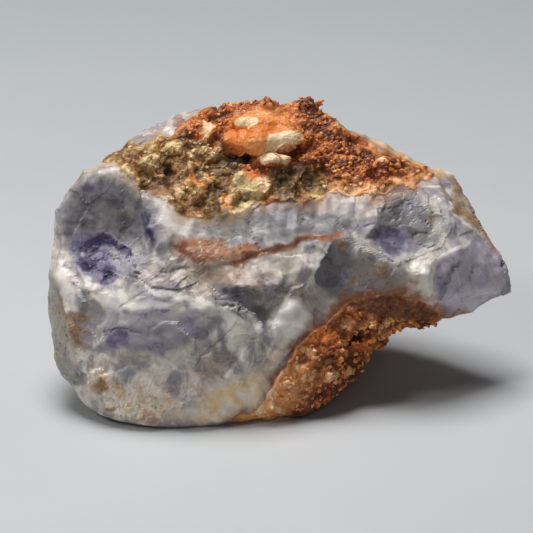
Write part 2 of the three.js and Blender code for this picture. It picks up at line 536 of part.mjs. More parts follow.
function geometryOf({ points, triangles }) {
  return new THREE.BufferGeometry().setFromPoints(points).setIndex(triangles.flat());
}

function makeStone() {
  const skin = makeSkin();
  const ways = outwards(skin.points, skin.triangles);
  let stone = solid(geometryOf(skin));
  const seat = (thing) => {
    const i = cornerAt(thing.at, skin.points, ways);
    return solid(lump(skin.points[i], ways[i], thing));
  };
  for (const chunk of CHUNKS) stone = stone.add(seat(chunk));
  const rind = [...skin.points.keys()].filter(
    (i) => isRind(skin.points[i]) && skin.points[i].z > FOOT_HEIGHT,
  );
  for (let n = 0; n < CRUMBS.count; n++) {
    const i = rind[Math.floor(chance() * rind.length)];
    const half = [0, 1, 2].map(() => between(CRUMBS.least, CRUMBS.most));
    stone = stone.add(solid(lump(skin.points[i], ways[i], { half, turn: between(0, 180) })));
  }
  for (const pit of PITS) stone = stone.subtract(seat(pit));
  const ground = new THREE.BoxGeometry(GROUND.width, GROUND.width, GROUND.thick);
  ground.translate(0, 0, FLOOR - GROUND.thick / 2);
  return stone.subtract(solid(ground));
}

// Back from a solid to a mesh, without the slivers that the cuts leave.
function meshOf(manifold) {
  const { vertProperties, triVerts } = manifold.getMesh();
  const geometry = new THREE.BufferGeometry();
  geometry.setAttribute("position", new THREE.BufferAttribute(vertProperties, 3));
  geometry.setIndex(new THREE.BufferAttribute(triVerts, 1));
  const merged = mergeVertices(geometry, WELD.cuts);
  const whole = [];
  for (let i = 0; i < merged.index.count; i += 3) {
    const [a, b, c] = merged.index.array.slice(i, i + 3);
    if (a !== b && b !== c && c !== a) whole.push(a, b, c);
  }
  merged.setIndex(whole);
  return merged;
}

const stone = meshOf(makeStone());
stone.computeBoundingBox();
const { min, max } = stone.boundingBox;
stone.translate(-(min.x + max.x) / 2, -(min.y + max.y) / 2, -min.z);
const opal = new THREE.Mesh(
  stone,
  new THREE.MeshStandardMaterial({ color: COLOURS.opal, roughness: 0.25, metalness: 0 }),
);
opal.name = "opal";
const part = new THREE.Group();
part.add(opal);
export default part;
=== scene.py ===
# %% [markdown]
# # A rough opal
#
# This lesson dresses a lump of rough opal: a stone that fills a palm, of milky violet opal with glassy,
# shell-shaped breaks, capped by a crumbly rind that iron has stained orange, red-brown and olive.
#
# The stone's form comes from a CAD solid: where its ridges run, how the lump rests and where the rind's
# blocks stand. This script makes the surface that such a stone has at the scale of a grain. It copies the
# solid, gives it an even and much finer net, shapes the small relief, marks where each colour lies, and
# then mixes the colours in one material.

# %% Load the frame
import math

import bmesh
import bpy
import numpy as np
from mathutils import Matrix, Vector, kdtree, noise


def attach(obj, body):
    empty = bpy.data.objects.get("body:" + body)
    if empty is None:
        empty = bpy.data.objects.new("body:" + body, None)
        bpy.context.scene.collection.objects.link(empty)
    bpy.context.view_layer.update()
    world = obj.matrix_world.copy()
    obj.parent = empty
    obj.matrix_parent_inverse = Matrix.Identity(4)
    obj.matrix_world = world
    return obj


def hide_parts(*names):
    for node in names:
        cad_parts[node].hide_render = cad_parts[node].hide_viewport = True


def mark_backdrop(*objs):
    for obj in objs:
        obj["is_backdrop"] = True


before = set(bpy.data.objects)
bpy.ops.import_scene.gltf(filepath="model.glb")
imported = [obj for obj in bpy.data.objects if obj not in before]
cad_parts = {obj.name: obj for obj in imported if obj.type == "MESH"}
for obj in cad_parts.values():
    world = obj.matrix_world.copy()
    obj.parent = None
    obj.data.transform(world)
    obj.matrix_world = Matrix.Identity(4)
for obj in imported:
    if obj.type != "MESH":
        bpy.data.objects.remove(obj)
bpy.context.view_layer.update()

MM = 0.001

# %% [markdown]
# ## Where the colours are placed
#
# The marks on the stone are placed on a drawing of its front, as a painter would sketch it: how far
# across, how far up, and how far out towards the eye, all in millimetres. The same drawing gave the solid
# its ridges, so a mark and the ridge beside it agree. The camera looks at the middle of that drawing.

# %% The drawing and the camera
LEAN = math.radians(21)  # the eye looks down by this much
EYE = 450  # and is this far away
SIGHT = (-2.0, 19.3)  # the place of the drawing at the picture's centre
MOVED = np.array([0.205, 8.516, 0.0])  # the drawing's origin, seen from the stone's own
VIEW_WIDTH = 79.95  # what the picture is wide, at the stone
SENSOR = 36


def on_drawing(points):
    """Across, up and out, in millimetres, of points in metres."""
    x, y, z = (points / MM + MOVED).T
    out = z * math.sin(LEAN) - y * math.cos(LEAN)
    up = z * math.cos(LEAN) + y * math.sin(LEAN)
    nearness = 1 - out / EYE
    return SIGHT[0] + (x - SIGHT[0]) / nearness, SIGHT[1] + (up - SIGHT[1]) / nearness, out


def make_camera():
    target = np.array([SIGHT[0], SIGHT[1] * math.sin(LEAN), SIGHT[1] * math.cos(LEAN)]) - MOVED
    back = np.array([0, -math.cos(LEAN), math.sin(LEAN)])
    lens = bpy.data.cameras.new("camera")
    lens.sensor_width = SENSOR
    lens.lens = SENSOR * EYE / VIEW_WIDTH
    camera = bpy.data.objects.new("camera", lens)
    camera.location = Vector((target + back * EYE) * MM)
    camera.rotation_euler = Vector(-back).to_track_quat("-Z", "Y").to_euler()
    bpy.context.scene.collection.objects.link(camera)
    bpy.context.scene.camera = camera
    return camera


camera = make_camera()
print("the lens is", round(camera.data.lens, 1), "mm")

# %% [markdown]
# ## The finer net
#
# The solid's facets are two or three millimetres wide, too coarse for grains. A voxel remesh lays an even
# net of small squares over it, which suits a stone better than subdivision does, because subdividing
# would keep the long thin triangles where lumps were joined. The remesh keeps the facets, though. So the
# opal is then smoothed, least beside the ridges, which stay crisp, as a glassy break's edges are.

# %% Copy the solid and give it an even net
NET = 0.348 * MM  # side of a square of the net
CREASE = math.radians(24)  # facets that meet at more than this make a ridge
CREASE_STEP = 0.4 * MM
SAME_PLACE = 0.0005 * MM  # corners closer than this are one


def read_points(mesh):
    points = np.empty(len(mesh.vertices) * 3, np.float32)
    mesh.vertices.foreach_get("co", points)
    return points.reshape(-1, 3).astype(float)


def read_normals(mesh):
    normals = np.empty(len(mesh.vertices) * 3, np.float32)
    mesh.vertices.foreach_get("normal", normals)
    return normals.reshape(-1, 3).astype(float)


def write_points(mesh, points):
    mesh.vertices.foreach_set("co", points.astype(np.float32).ravel())
    mesh.update()


def plain_mesh(piece):
    """The piece's mesh as its modifiers leave it, with the modifiers taken off."""
    evaluated = piece.evaluated_get(bpy.context.evaluated_depsgraph_get())
    mesh = bpy.data.meshes.new_from_object(evaluated)
    piece.modifiers.clear()
    piece.data = mesh
    return mesh


def crease_points(mesh):
    """Points along every sharp edge of the solid."""
    found = []
    whole = bmesh.new()
    whole.from_mesh(mesh)
    for edge in whole.edges:
        if len(edge.link_faces) == 2 and edge.calc_face_angle(0) > CREASE:
            first, last = (vertex.co for vertex in edge.verts)
            steps = max(2, int((last - first).length / CREASE_STEP))
            found.extend(first.lerp(last, i / steps) for i in range(steps + 1))
    whole.free()
    return found


def copy_solid(name, piece_name):
    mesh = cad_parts[name].data.copy()
    whole = bmesh.new()
    whole.from_mesh(mesh)
    bmesh.ops.remove_doubles(whole, verts=whole.verts, dist=SAME_PLACE)
    whole.to_mesh(mesh)
    whole.free()
    mesh.materials.clear()
    piece = bpy.data.objects.new(piece_name, mesh)
    bpy.context.scene.collection.objects.link(piece)
    creases = crease_points(mesh)
    remesh = piece.modifiers.new("even net", "REMESH")
    remesh.mode = "VOXEL"
    remesh.voxel_size = NET
    plain_mesh(piece)
    return piece, creases


stone, creases = copy_solid("opal", "opal_stone")
print("the net has", len(stone.data.polygons), "squares, and there are", len(creases), "ridge points")

# %% [markdown]
# ## Tools for masks and relief
#
# A mask is one number from 0 to 1 for each corner of the net. Patches of colour on a stone have ragged
# edges, so every place is first shaken a little by noise, and the simple shapes below then come out
# ragged.

# %% Helpers: fades, noise, patches and strokes
def fade(value, low, high):
    """0 below low, 1 above high, and a soft step between them."""
    t = np.clip((value - low) / (high - low), 0, 1)
    return t * t * (3 - 2 * t)


def cloud(points, size, seed=0, octaves=1):
    """Soft noise from about -1 to 1, whose lumps are about size millimetres across."""
    total = np.zeros(len(points))
    strength = 1.0
    for octave in range(octaves):
        places = points / (size * MM) * 2**octave + 17.3 * (seed + 1) + 5.1 * octave
        total += strength * np.array([noise.noise(place) for place in places.tolist()])
        strength *= 0.5
    return total * 1.4


def grains(points, size, seed=0):
    """For each point, how far its two nearest grain centres are, the nearest centre, and the point itself.

    All four are counted in grain sizes."""
    places = points / (size * MM) + 31.7 * (seed + 1)
    found = [noise.voronoi(place) for place in places.tolist()]
    near = np.array([distances[0] for distances, _ in found])
    next_near = np.array([distances[1] for distances, _ in found])
    centres = np.array([centre[0] for _, centre in found])
    return near, next_near, centres, places


def dice(centres, seed=0):
    """Three numbers from -1 to 1 for each grain, the same wherever the grain is met."""
    mixed = centres @ np.array([[12.99, 78.23, 37.72], [39.35, 11.14, 83.16], [73.16, 52.24, 9.15]]) + seed
    return 2 * np.modf(np.abs(np.sin(mixed)) * 4375.85)[0] - 1


def patches(across, up, dabs, blur=0.45):
    """Soft ovals. A dab is across, up, half width, half height, turn in degrees and strength."""
    clear = np.ones(len(across))
    for x, y, wide, tall, turn, strength in dabs:
        cos, sin = math.cos(math.radians(turn)), math.sin(math.radians(turn))
        along = ((across - x) * cos + (up - y) * sin) / wide
        beside = (-(across - x) * sin + (up - y) * cos) / tall
        clear *= 1 - strength * (1 - fade(np.hypot(along, beside), 1 - blur, 1 + blur))
    return 1 - clear


def off_line(across, up, line):
    """How far each place is from a line through the given places."""
    nearest = np.full(len(across), 1e9)
    for (x0, y0), (x1, y1) in zip(line, line[1:]):
        length = (x1 - x0) ** 2 + (y1 - y0) ** 2
        t = np.clip(((across - x0) * (x1 - x0) + (up - y0) * (y1 - y0)) / length, 0, 1)
        nearest = np.minimum(nearest, np.hypot(across - x0 - t * (x1 - x0), up - y0 - t * (y1 - y0)))
    return nearest


def strokes(across, up, lines):
    """Soft lines. A stroke is its half width, its strength and the places it goes through."""
    clear = np.ones(len(across))
    for half, strength, line in lines:
        clear *= 1 - strength * (1 - fade(off_line(across, up, line), 0.4 * half, 1.6 * half))
    return 1 - clear


def depth_inside(across, up, outline):
    """How far each place is inside a closed outline. It is negative outside."""
    within = np.zeros(len(across), bool)
    for (x0, y0), (x1, y1) in zip(outline, outline[1:] + outline[:1]):
        crosses = (y0 > up) != (y1 > up)
        within ^= crosses & (across < (x1 - x0) * (up - y0) / ((y1 - y0) or 1e-9) + x0)
    return np.where(within, 1, -1) * off_line(across, up, outline + outline[:1])


# %% [markdown]
# ## Where the rind is
#
# The rind caps the stone and clings to its lower right. Two outlines on the drawing say so for the front,
# and a few balls say so for the back and the underside.

# %% The rind's outlines
FRONT_ENDS = -10  # the drawing holds for what is nearer to the eye than this
CAP = [
    (-31, 33.5), (-29.9, 34.1), (-27, 35.3), (-23, 34.4), (-22.1, 32.3), (-20.3, 30.5), (-18, 30),
    (-16.5, 28.5), (-14.3, 27.5), (-11.3, 26.6), (-8.3, 27.2), (-6, 28.1), (-2.7, 28.8), (1.5, 29.3),
    (3.8, 28.5), (6, 29.6), (8.3, 30.8), (10.8, 30.5), (13.5, 29.6), (15.8, 30), (18, 31.8), (20.3, 31.8),
    (22.2, 32.6), (23.1, 33.7), (19.4, 35), (16.2, 36.5), (12.2, 38.6), (8.7, 40.5), (7.5, 46),
    (-9.5, 46), (-10.5, 43.6), (-13.1, 42.1), (-14.7, 40.6), (-15.5, 39.3), (-17.7, 39), (-20, 38.3),
    (-22.4, 37.8), (-24.5, 38.4), (-29, 36.5)]
FOOT = [
    (24.5, 10.8), (24, 11.9), (22.5, 12.9), (20.3, 14.3), (18, 14.7), (15.8, 14.3), (12, 14.3),
    (9.8, 13.8), (7.5, 11.6), (6, 9.8), (3.8, 7.5), (1.5, 5.3), (-0.5, 2.3), (-2.7, -0.8), (-5.3, -2.6),
    (-6.8, -3.5), (-7, -12), (30, -12), (30, 10)]
# Each ball is x, y and z of its centre, and its radius. Where a ball meets the back, rind covers it.
BALLS = [
    (-2, 26, 39, 9), (6, 23, 37, 7), (-9, 27, 37, 4), (3, 28, 33, 5), (12, 22, 32, 5), (14, 17, 7, 8),
    (5, 24, 5, 8), (21, 16, 11, 5)]


class Places:
    """Where the corners of a mesh lie: in space, on the drawing, and on the drawing after a shake."""

    def __init__(self, points, normals):
        self.points = points
        self.across, self.up, self.out = on_drawing(points)
        facing = normals @ np.array([0, -math.cos(LEAN), math.sin(LEAN)])
        self.front = fade(np.maximum(self.out - FRONT_ENDS, 12 * facing), -1, 1)
        shake = [cloud(points, 3.2, seed) * 0.7 + cloud(points, 1.1, seed + 5) * 0.35 for seed in (1, 2)]
        self.ragged = (self.across + shake[0], self.up + shake[1])
        self.stirred = (self.across + 0.6 * shake[0], self.up + 0.6 * shake[1])

    def rind_depth(self):
        """How far inside the rind's edge each corner is, in millimetres."""
        across, up = self.ragged
        front = np.maximum(depth_inside(across, up, CAP), depth_inside(across, up, FOOT))
        spots = self.points / MM + MOVED
        back = np.full(len(spots), -99.0)
        for x, y, z, radius in BALLS:
            back = np.maximum(back, radius - np.linalg.norm(spots - (x, y, z), axis=1))
        return np.where(self.front > 0.5, front, back + cloud(self.points, 3.5, 3, 2) * 1.6)


# %% Smooth the opal between its ridges
SMOOTHING = 36  # rounds, each spreading over about one square of the net
AWAY_FROM_RIND = 2.2  # ridges nearer to the rind than this aren't held
# Patches of rind that the solid cuts too crisply
HEALED = [(-16.6, 33.2, 2.2, 2.2, 0, 1.0), (-2.0, 43.4, 2.0, 1.4, 0, 0.6)]


def creases_in_opal():
    """The ridge points that lie well away from the rind, whose lumps don't hold the opal beside them."""
    spots = np.array([tuple(place) for place in creases])
    depth = Places(spots, np.zeros_like(spots)).rind_depth()
    return spots[depth < -AWAY_FROM_RIND]


def near_creases(points):
    """1 beside a ridge, 0 away from it."""
    ridges = creases_in_opal()
    tree = kdtree.KDTree(len(ridges))
    for i, place in enumerate(ridges):
        tree.insert(place, i)
    tree.balance()
    away = np.array([tree.find(point)[2] for point in points.tolist()])
    return 1 - fade(away, 0.35 * MM, 1.3 * MM)


def smooth(mesh, points, amount, rounds):
    """Moves each corner towards the mean of its neighbours, by its amount, again and again."""
    ends = np.empty(len(mesh.edges) * 2, np.int32)
    mesh.edges.foreach_get("vertices", ends)
    a, b = ends.reshape(-1, 2).T
    count = len(points)
    neighbours = np.bincount(ends, minlength=count)
    for _ in range(rounds):
        total = np.stack([
            np.bincount(a, points[b, k], count) + np.bincount(b, points[a, k], count) for k in range(3)
        ], axis=1)
        points = points + amount[:, None] * (total / neighbours[:, None] - points)
    return points


def settle_opal(piece):
    mesh = piece.data
    points = smooth(mesh, read_points(mesh), np.full(len(mesh.vertices), 0.5), 3)
    places = Places(points, read_normals(mesh))
    opal = 1 - fade(places.rind_depth(), -0.6, 0.4)
    amount = 0.02 + 0.5 * opal * (1 - 0.93 * near_creases(points))
    amount = np.maximum(amount, 0.5 * patches(places.across, places.up, HEALED) * places.front)
    points = smooth(mesh, points, amount, SMOOTHING)
    write_points(mesh, points)


settle_opal(stone)
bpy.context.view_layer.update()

# %% [markdown]
# ## The colours' places
#
# Each finish gets a mask of its own: violet where the opal is deep and clear, grey where it is clear but
# shaded inside, white where it is milky, cream where it is chalky, and the stains of iron, from orange to
# ochre. Some of these masks also carry painted light and shade: painted shade in the recess above the boss,
# on a steep flank beside the white bulge and along the left end, with a painted greenish reflection there,
# and painted highlights along ridges. The rind has its own: olive at the left, pale lumps of clay, and dark
# holes painted with shade, and its crumbs get painted light on their crests and painted shade in their
# creases. The masks are stored on the mesh as named attributes, and the material reads them. That is easier
# to steer than noise alone, which can't put the violet pocket where it belongs. The back, which the drawing
# doesn't show, gets the same finishes from noise.

# %% Marks on the opal
# Each patch is across, up, half width, half height, turn in degrees and strength.
VIOLET = [
    (-28.6, 21.0, 3.1, 3.8, 10, 0.72), (-24.9, 22.8, 2.4, 1.0, -28, 0.8), (-25.6, 18.2, 1.6, 1.8, 0, 0.8),
    (-26.6, 19.4, 2.7, 2.2, 0, 0.3), (-29.6, 22.4, 2.0, 3.2, 0, 0.3), (-22.6, 20.8, 2.4, 1.4, -30, 0.5),
    (-19.7, 25.2, 1.3, 3.1, 14, 0.75), (-26.4, 31.1, 2.8, 1.2, -12, 0.45),
    (-29.0, 31.0, 1.1, 1.0, 0, 0.4), (-24.6, 8.4, 1.9, 2.0, 0, 0.7), (-18.2, 6.9, 2.0, 1.1, -10, 0.4),
    (-12.8, 9.8, 1.4, 1.1, 0, 0.45), (-24.8, 13.4, 1.1, 0.7, 0, 0.4), (-19.4, 9.9, 7.6, 4.2, -8, 0.36),
    (-18.0, 14.6, 3.8, 2.0, -16, 0.42), (17.4, 22.9, 3.4, 2.2, -30, 0.72),
    (15.6, 24.7, 2.4, 1.2, 10, 0.45), (12.2, 15.6, 1.2, 0.8, 0, 0.5), (28.5, 18.2, 6.5, 4.6, 0, 0.26),
    (24.0, 16.4, 0.9, 2.6, 6, 0.3), (33.2, 19.8, 0.35, 0.8, 0, 0.95), (20.0, 27.4, 3.0, 1.6, -12, 0.25),
    (-2.6, 14.2, 1.5, 1.2, 0, 0.2)]
# where the violet is almost black; the dab at -19.3, 24.7 is painted shade on the steep flank left of the
# white bulge
INK_AND_FLANK_SHADE = [
    (-28.2, 22.8, 2.0, 0.9, 14, 0.95), (-25.0, 22.8, 1.9, 0.7, -24, 0.9), (-29.2, 20.2, 1.3, 1.4, 0, 0.9),
    (-25.9, 18.3, 0.9, 1.1, 0, 1.0), (-23.2, 21.2, 1.3, 0.5, -34, 0.85), (-27.2, 20.4, 1.4, 0.7, 20, 0.6),
    (-19.3, 24.7, 0.9, 1.5, 14, 0.8), (-24.6, 8.3, 1.0, 1.1, 0, 0.45), (17.2, 22.6, 1.6, 0.5, 30, 0.5),
    (18.6, 21.4, 1.2, 0.5, -30, 0.4), (13.2, 25.6, 1.0, 0.3, 10, 0.6), (33.2, 19.8, 0.3, 0.8, 0, 0.8)]
# clear opal, dark inside; the first two dabs paint shade into the recess above the boss
GREY_AND_RECESS_SHADE = [
    (-6.6, 14.4, 3.4, 1.9, -22, 0.7), (-3.2, 11.4, 1.7, 2.8, 18, 0.6), (8.0, 19.2, 2.9, 4.2, -10, 0.85),
    (9.4, 22.6, 2.2, 1.1, 0, 0.55), (11.8, 15.4, 3.4, 1.3, 0, 0.6), (14.6, 18.4, 5.4, 2.9, -12, 0.5),
    (-30.6, 22.6, 2.0, 3.2, 0, 0.45), (-18.6, 9.4, 7.4, 4.2, -5, 0.35), (-12.4, 10.8, 3.2, 2.6, -30, 0.4),
    (-17.4, 0.8, 3.3, 1.2, 0, 0.5), (18.4, 27.9, 3.2, 1.5, -16, 0.5), (21.6, 22.4, 2.4, 1.6, 0, 0.3),
    (-23.0, 28.6, 1.6, 3.0, 15, 0.35), (17.0, 22.4, 3.6, 2.6, 0, 0.35), (30.0, 16.4, 5.0, 3.0, 0, 0.1),
    (-19.4, 18.4, 3.4, 1.6, 0, 0.35), (-28.2, 27.0, 3.4, 3.4, 0, 0.2), (-24.6, 19.8, 2.8, 2.2, 0, 0.6),
    (-21.6, 22.6, 1.6, 1.6, 0, 0.4), (0.0, 26.0, 12.0, 2.6, 2, 0.8), (-18.4, 9.6, 6.4, 3.4, -6, 0.35),
    (-26.6, 27.4, 6.4, 5.4, 0, 0.9), (19.4, 26.0, 4.6, 4.0, -20, 0.5)]
# milky opal
WHITE = [
    (-15.9, 27.2, 2.2, 3.6, 32, 0.95), (-32.8, 17.7, 1.4, 2.3, 15, 1.0),
    (-31.4, 13.4, 1.3, 3.2, -8, 0.75), (-10.4, 12.8, 4.2, 1.2, -16, 0.6), (-6.8, 8.0, 1.4, 3.6, 22, 0.75),
    (1.3, 11.2, 3.2, 3.2, -20, 0.9), (4.0, 25.9, 6.4, 1.7, 2, 0.25), (10.8, 28.0, 3.2, 1.4, -8, 0.35),
    (25.0, 27.2, 2.0, 1.9, 0, 0.5), (-25.2, 14.5, 3.2, 1.4, -14, 0.6), (-19.8, 13.9, 4.0, 1.0, -8, 0.5),
    (21.6, 17.8, 0.9, 3.0, 4, 0.5), (-15.4, 19.9, 2.6, 1.2, -10, 0.4), (30.2, 15.2, 3.6, 1.8, 20, 0.4),
    (31.4, 19.4, 1.4, 3.0, 36, 0.3), (-21.6, 1.9, 4.6, 0.9, 0, 0.4), (-24.4, 35.0, 2.4, 0.9, 12, 0.6),
    (-2.4, 19.0, 4.0, 0.9, 12, 0.4), (-25.0, 12.3, 1.6, 1.0, 0, 0.3)]
# iron that has soaked in, red to orange
RUST = [
    (-26.8, 1.0, 1.3, 0.9, 30, 0.7), (-25.6, -2.2, 1.2, 0.5, 0, 0.6), (-11.6, 21.8, 4.6, 2.1, 2, 0.95),
    (-4.6, 21.3, 3.8, 1.3, 8, 0.85), (-9.0, 19.2, 5.0, 2.4, -6, 0.4), (-16.2, 17.4, 3.0, 1.0, -10, 0.25),
    (-19.6, -3.4, 1.9, 1.0, 0, 0.75), (-12.0, 15.6, 2.2, 0.8, -14, 0.3), (6.2, 23.9, 2.6, 0.6, 8, 0.5),
    (-22.2, 5.6, 2.2, 0.5, -8, 0.35), (15.0, 27.9, 0.4, 1.3, 0, 0.4)]
# Each line is its half width, its strength and the places it goes through.
RUST_LINES = [
    (0.55, 0.95, [(-6.8, 19.9), (-4.0, 21.0), (-1.0, 21.9), (2.4, 22.9), (5.6, 23.9), (9.0, 24.4)]),
    (0.30, 0.60, [(-12.6, 20.2), (-9.4, 20.6), (-6.4, 21.9), (-3.6, 22.6)])]
# yellow and brown crusts
OCHRE = [
    (3.0, 16.1, 1.7, 1.2, 0, 0.5), (-31.0, 9.2, 1.2, 2.6, 4, 0.8), (-30.6, 11.8, 1.8, 0.9, 0, 0.85),
    (-29.2, 9.6, 1.8, 0.6, 0, 0.6), (-29.6, 7.6, 1.4, 0.7, -20, 0.6), (-31.6, 13.6, 0.8, 0.6, 0, 0.5),
    (9.1, 21.7, 0.9, 0.7, 0, 0.9), (14.8, 19.3, 1.5, 0.9, 0, 0.7), (20.1, 17.1, 1.4, 0.5, 0, 0.7),
    (-32.6, 12.4, 0.8, 3.0, 6, 0.6), (-27.2, 1.2, 1.5, 1.2, 40, 1.0), (-25.4, -2.0, 1.2, 0.6, 0, 0.9),
    (9.0, 22.9, 0.9, 0.9, 0, 0.75), (22.4, 26.6, 0.5, 0.4, 0, 0.8), (20.8, 23.2, 0.5, 0.3, 40, 0.8),
    (28.9, 27.0, 1.2, 3.4, 42, 0.85), (26.6, 31.0, 1.2, 2.8, 32, 0.7), (26.7, 27.9, 1.0, 0.8, 0, 1.0),
    (31.6, 23.0, 0.8, 2.4, 36, 0.6), (16.0, 17.6, 1.6, 0.8, -20, 0.3), (-28.4, 4.9, 0.9, 1.3, 0, 0.5),
    (-7.6, 26.2, 1.6, 0.4, 0, 0.3), (-23.1, 32.7, 0.3, 0.4, 0, 0.9), (-24.3, 29.8, 0.3, 0.3, 0, 0.6),
    (-23.3, 27.1, 0.3, 0.5, 0, 0.6), (16.7, 30.0, 0.4, 0.3, 0, 0.8), (17.8, 29.4, 0.3, 0.3, 0, 0.8),
    (26.4, 12.0, 2.6, 0.6, 12, 0.7), (30.8, 14.0, 2.0, 0.4, 24, 0.6)]
# the clean break at the right end
EVEN = [(28.6, 17.6, 5.0, 5.4, 0, 1.0), (31.0, 20.6, 2.4, 2.4, 0, 0.8)]
# light ridges: painted highlights along bright edges and on a strip turned to the light
WHITE_AND_HIGHLIGHT_LINES = [
    (0.45, 0.42, [(8.5, 23.9), (11.7, 22.9), (14.5, 21.9), (17.2, 20.4), (20.2, 19.2), (22.4, 18.5)]),
    (0.4, 0.6, [(3.9, 16.0), (4.6, 18.0), (5.6, 20.4), (7.4, 22.9)]),
    (0.45, 0.9, [(22.7, 17.9), (22.6, 15.6), (22.6, 12.8)]),
    (0.4, 0.7, [(22.9, 19.4), (23.6, 20.6), (26.0, 21.8), (28.5, 23.0)]),
    (0.5, 0.7, [(-21.0, 17.6), (-18.6, 15.4), (-15.6, 15.2), (-12.2, 14.4), (-9.2, 13.2)]),
    (0.4, 0.6, [(-6.4, 13.2), (-4.6, 11.6), (-3.4, 9.6)]),
    (0.4, 0.6, [(15.4, 29.6), (15.2, 27.4), (14.6, 25.4)])]
VIOLET_LINES = [
    (0.5, 0.5, [(23.9, 14.6), (25.2, 17.0), (26.9, 20.0)]),
    (0.4, 0.22, [(27.0, 15.6), (29.0, 18.4), (31.4, 21.2)]),
    (0.3, 0.26, [(25.6, 14.4), (27.4, 16.6)]),
    (0.3, 0.4, [(-23.6, 12.6), (-20.4, 12.0), (-17.0, 13.0)])]
OCHRE_LINES = [
    (0.3, 0.85, [(8.4, 14.2), (9.6, 15.9), (11.3, 17.8)]),
    (0.22, 0.9, [(22.9, 33.6), (24.1, 31.8), (25.0, 30.4), (26.0, 29.3), (26.7, 28.1)]),
    (0.16, 0.5, [(2.4, 29.4), (2.7, 28.0), (3.5, 26.4)]),
    (0.16, 0.5, [(26.9, 27.8), (28.8, 26.5), (30.6, 24.6), (32.2, 23.0)])]
# chalky skin
CREAM = [
    (-21.0, -0.8, 6.0, 3.2, 0, 0.85), (-18.8, -0.6, 2.6, 1.2, 0, 0.8), (-27.2, 2.2, 2.4, 2.6, -30, 0.75),
    (-11.6, 1.4, 3.2, 1.3, 0, 0.45), (-5.4, 24.6, 4.6, 1.2, 0, 0.3), (-34.0, 10.0, 1.4, 9.0, 0, 0.55),
    (-27.0, 35.0, 3.4, 1.0, 20, 0.5), (-1.6, 5.4, 1.8, 2.4, -40, 0.35)]
# opal that is faintly tanned
WASH = [
    (-9.0, 17.6, 7.0, 2.6, -8, 0.65), (-2.0, 19.2, 5.4, 1.4, 12, 0.5), (12.8, 17.6, 7.4, 3.6, -12, 0.8),
    (2.4, 12.6, 4.6, 4.2, 0, 0.45), (-6.0, 14.6, 5.0, 2.4, -20, 0.35), (-14.0, 24.8, 5.0, 1.8, 0, 0.3),
    (-15.6, 13.4, 6.0, 1.0, -8, 0.4), (-10.0, 4.8, 4.4, 3.2, 30, 0.45), (18.6, 28.0, 4.0, 2.6, -20, 0.35),
    (-28.0, 12.0, 2.0, 3.0, 0, 0.35), (1.0, 27.0, 12.0, 2.0, 2, 0.8), (-22.0, 5.4, 6.0, 1.2, 0, 0.4),
    (-29.0, 27.0, 1.6, 4.0, 0, 0.25)]
# honey-coloured, cloudy opal
AMBER = [
    (-8.2, -0.9, 4.4, 2.9, 20, 0.9), (-4.4, 1.6, 2.8, 2.8, 40, 0.7), (-1.2, 5.2, 1.4, 2.4, -40, 0.5),
    (-13.4, -3.0, 4.0, 1.0, 4, 0.6)]
# where small brown dots lie
SPECKS = [
    (-33.6, 8.6, 1.7, 8.0, 0, 0.9), (-29.4, 9.0, 1.6, 5.0, 0, 0.5), (13.4, 19.0, 4.4, 2.4, -14, 0.7),
    (-22.0, -1.6, 6.0, 2.6, 0, 0.5), (19.0, 26.4, 5.0, 4.0, 0, 0.6), (-9.0, 5.6, 3.4, 4.0, 0, 0.4),
    (-6.0, 25.6, 10.0, 2.6, 4, 0.6), (-27.0, 28.0, 5.0, 4.4, 0, 0.5), (-10.0, 15.0, 7.0, 2.6, -10, 0.4)]
CRACKS = [
    (0.13, 0.6, [(-22.7, 18.4), (-20.8, 17.4), (-18.9, 16.2), (-17.2, 15.9), (-14.9, 15.9), (-12.5, 16.9)]),
    (0.13, 0.5, [(-18.9, 16.2), (-21.9, 14.8), (-24.1, 13.3)]),
    (0.15, 0.55, [(-26.4, 9.7), (-23.6, 10.1), (-20.9, 9.4)]),
    (0.15, 0.5, [(-12.6, 4.4), (-11.2, 6.4), (-8.8, 8.4), (-6.6, 10.6)]),
    (0.13, 0.5, [(-18.6, 17.6), (-17.4, 19.0), (-16.4, 20.8)]),
    (0.13, 0.45, [(3.4, 29.2), (3.9, 27.4), (3.3, 25.6)]),
    (0.13, 0.45, [(11.4, 30.0), (11.0, 27.4), (11.8, 25.2)])]
# the pale skin that edges the rind on the right, and the rust along it
RIM = [
    (1.6, 0.95, [(7.6, 42.6), (10.4, 40.6), (14.5, 38.3), (19.9, 35.7), (23.4, 34.3), (25.0, 34.4)])]
RIM_EDGE = [
    (0.3, 0.8, [(7.8, 41.4), (12.2, 38.6), (16.2, 36.5), (19.4, 34.9), (23.0, 33.7)]),
    (0.35, 0.6, [(26.4, 32.2), (28.6, 28.9), (31.2, 24.2), (33.8, 20.2)])]

# %% Marks on the rind
# olive crumbs
OLIVE = [
    (-15.0, 32.4, 11.0, 5.2, -12, 1.0), (-25.0, 35.6, 4.0, 1.6, 16, 1.0), (-9.0, 29.0, 5.6, 3.6, 0, 1.0),
    (2.4, 31.6, 4.6, 2.6, 0, 1.0), (-17.0, 36.6, 4.4, 2.2, 10, 0.7), (-11.0, 36.6, 3.0, 2.4, 0, 0.45),
    (15.6, 9.8, 1.0, 0.7, 20, 0.4), (5.0, 29.6, 1.6, 0.8, 0, 0.8)]
# light, clayey rind
HONEYED = [
    (-2.4, -1.2, 5.0, 3.4, 34, 0.9), (2.6, 1.6, 4.0, 3.0, 40, 0.6), (6.0, 4.0, 2.2, 2.6, 30, 0.4),
    (13.0, 30.6, 6.0, 1.4, -2, 0.75), (19.6, 32.6, 3.4, 1.2, 4, 0.6), (8.0, 31.4, 2.0, 1.4, 0, 0.5),
    (12.0, 10.8, 3.4, 0.7, 8, 0.5)]
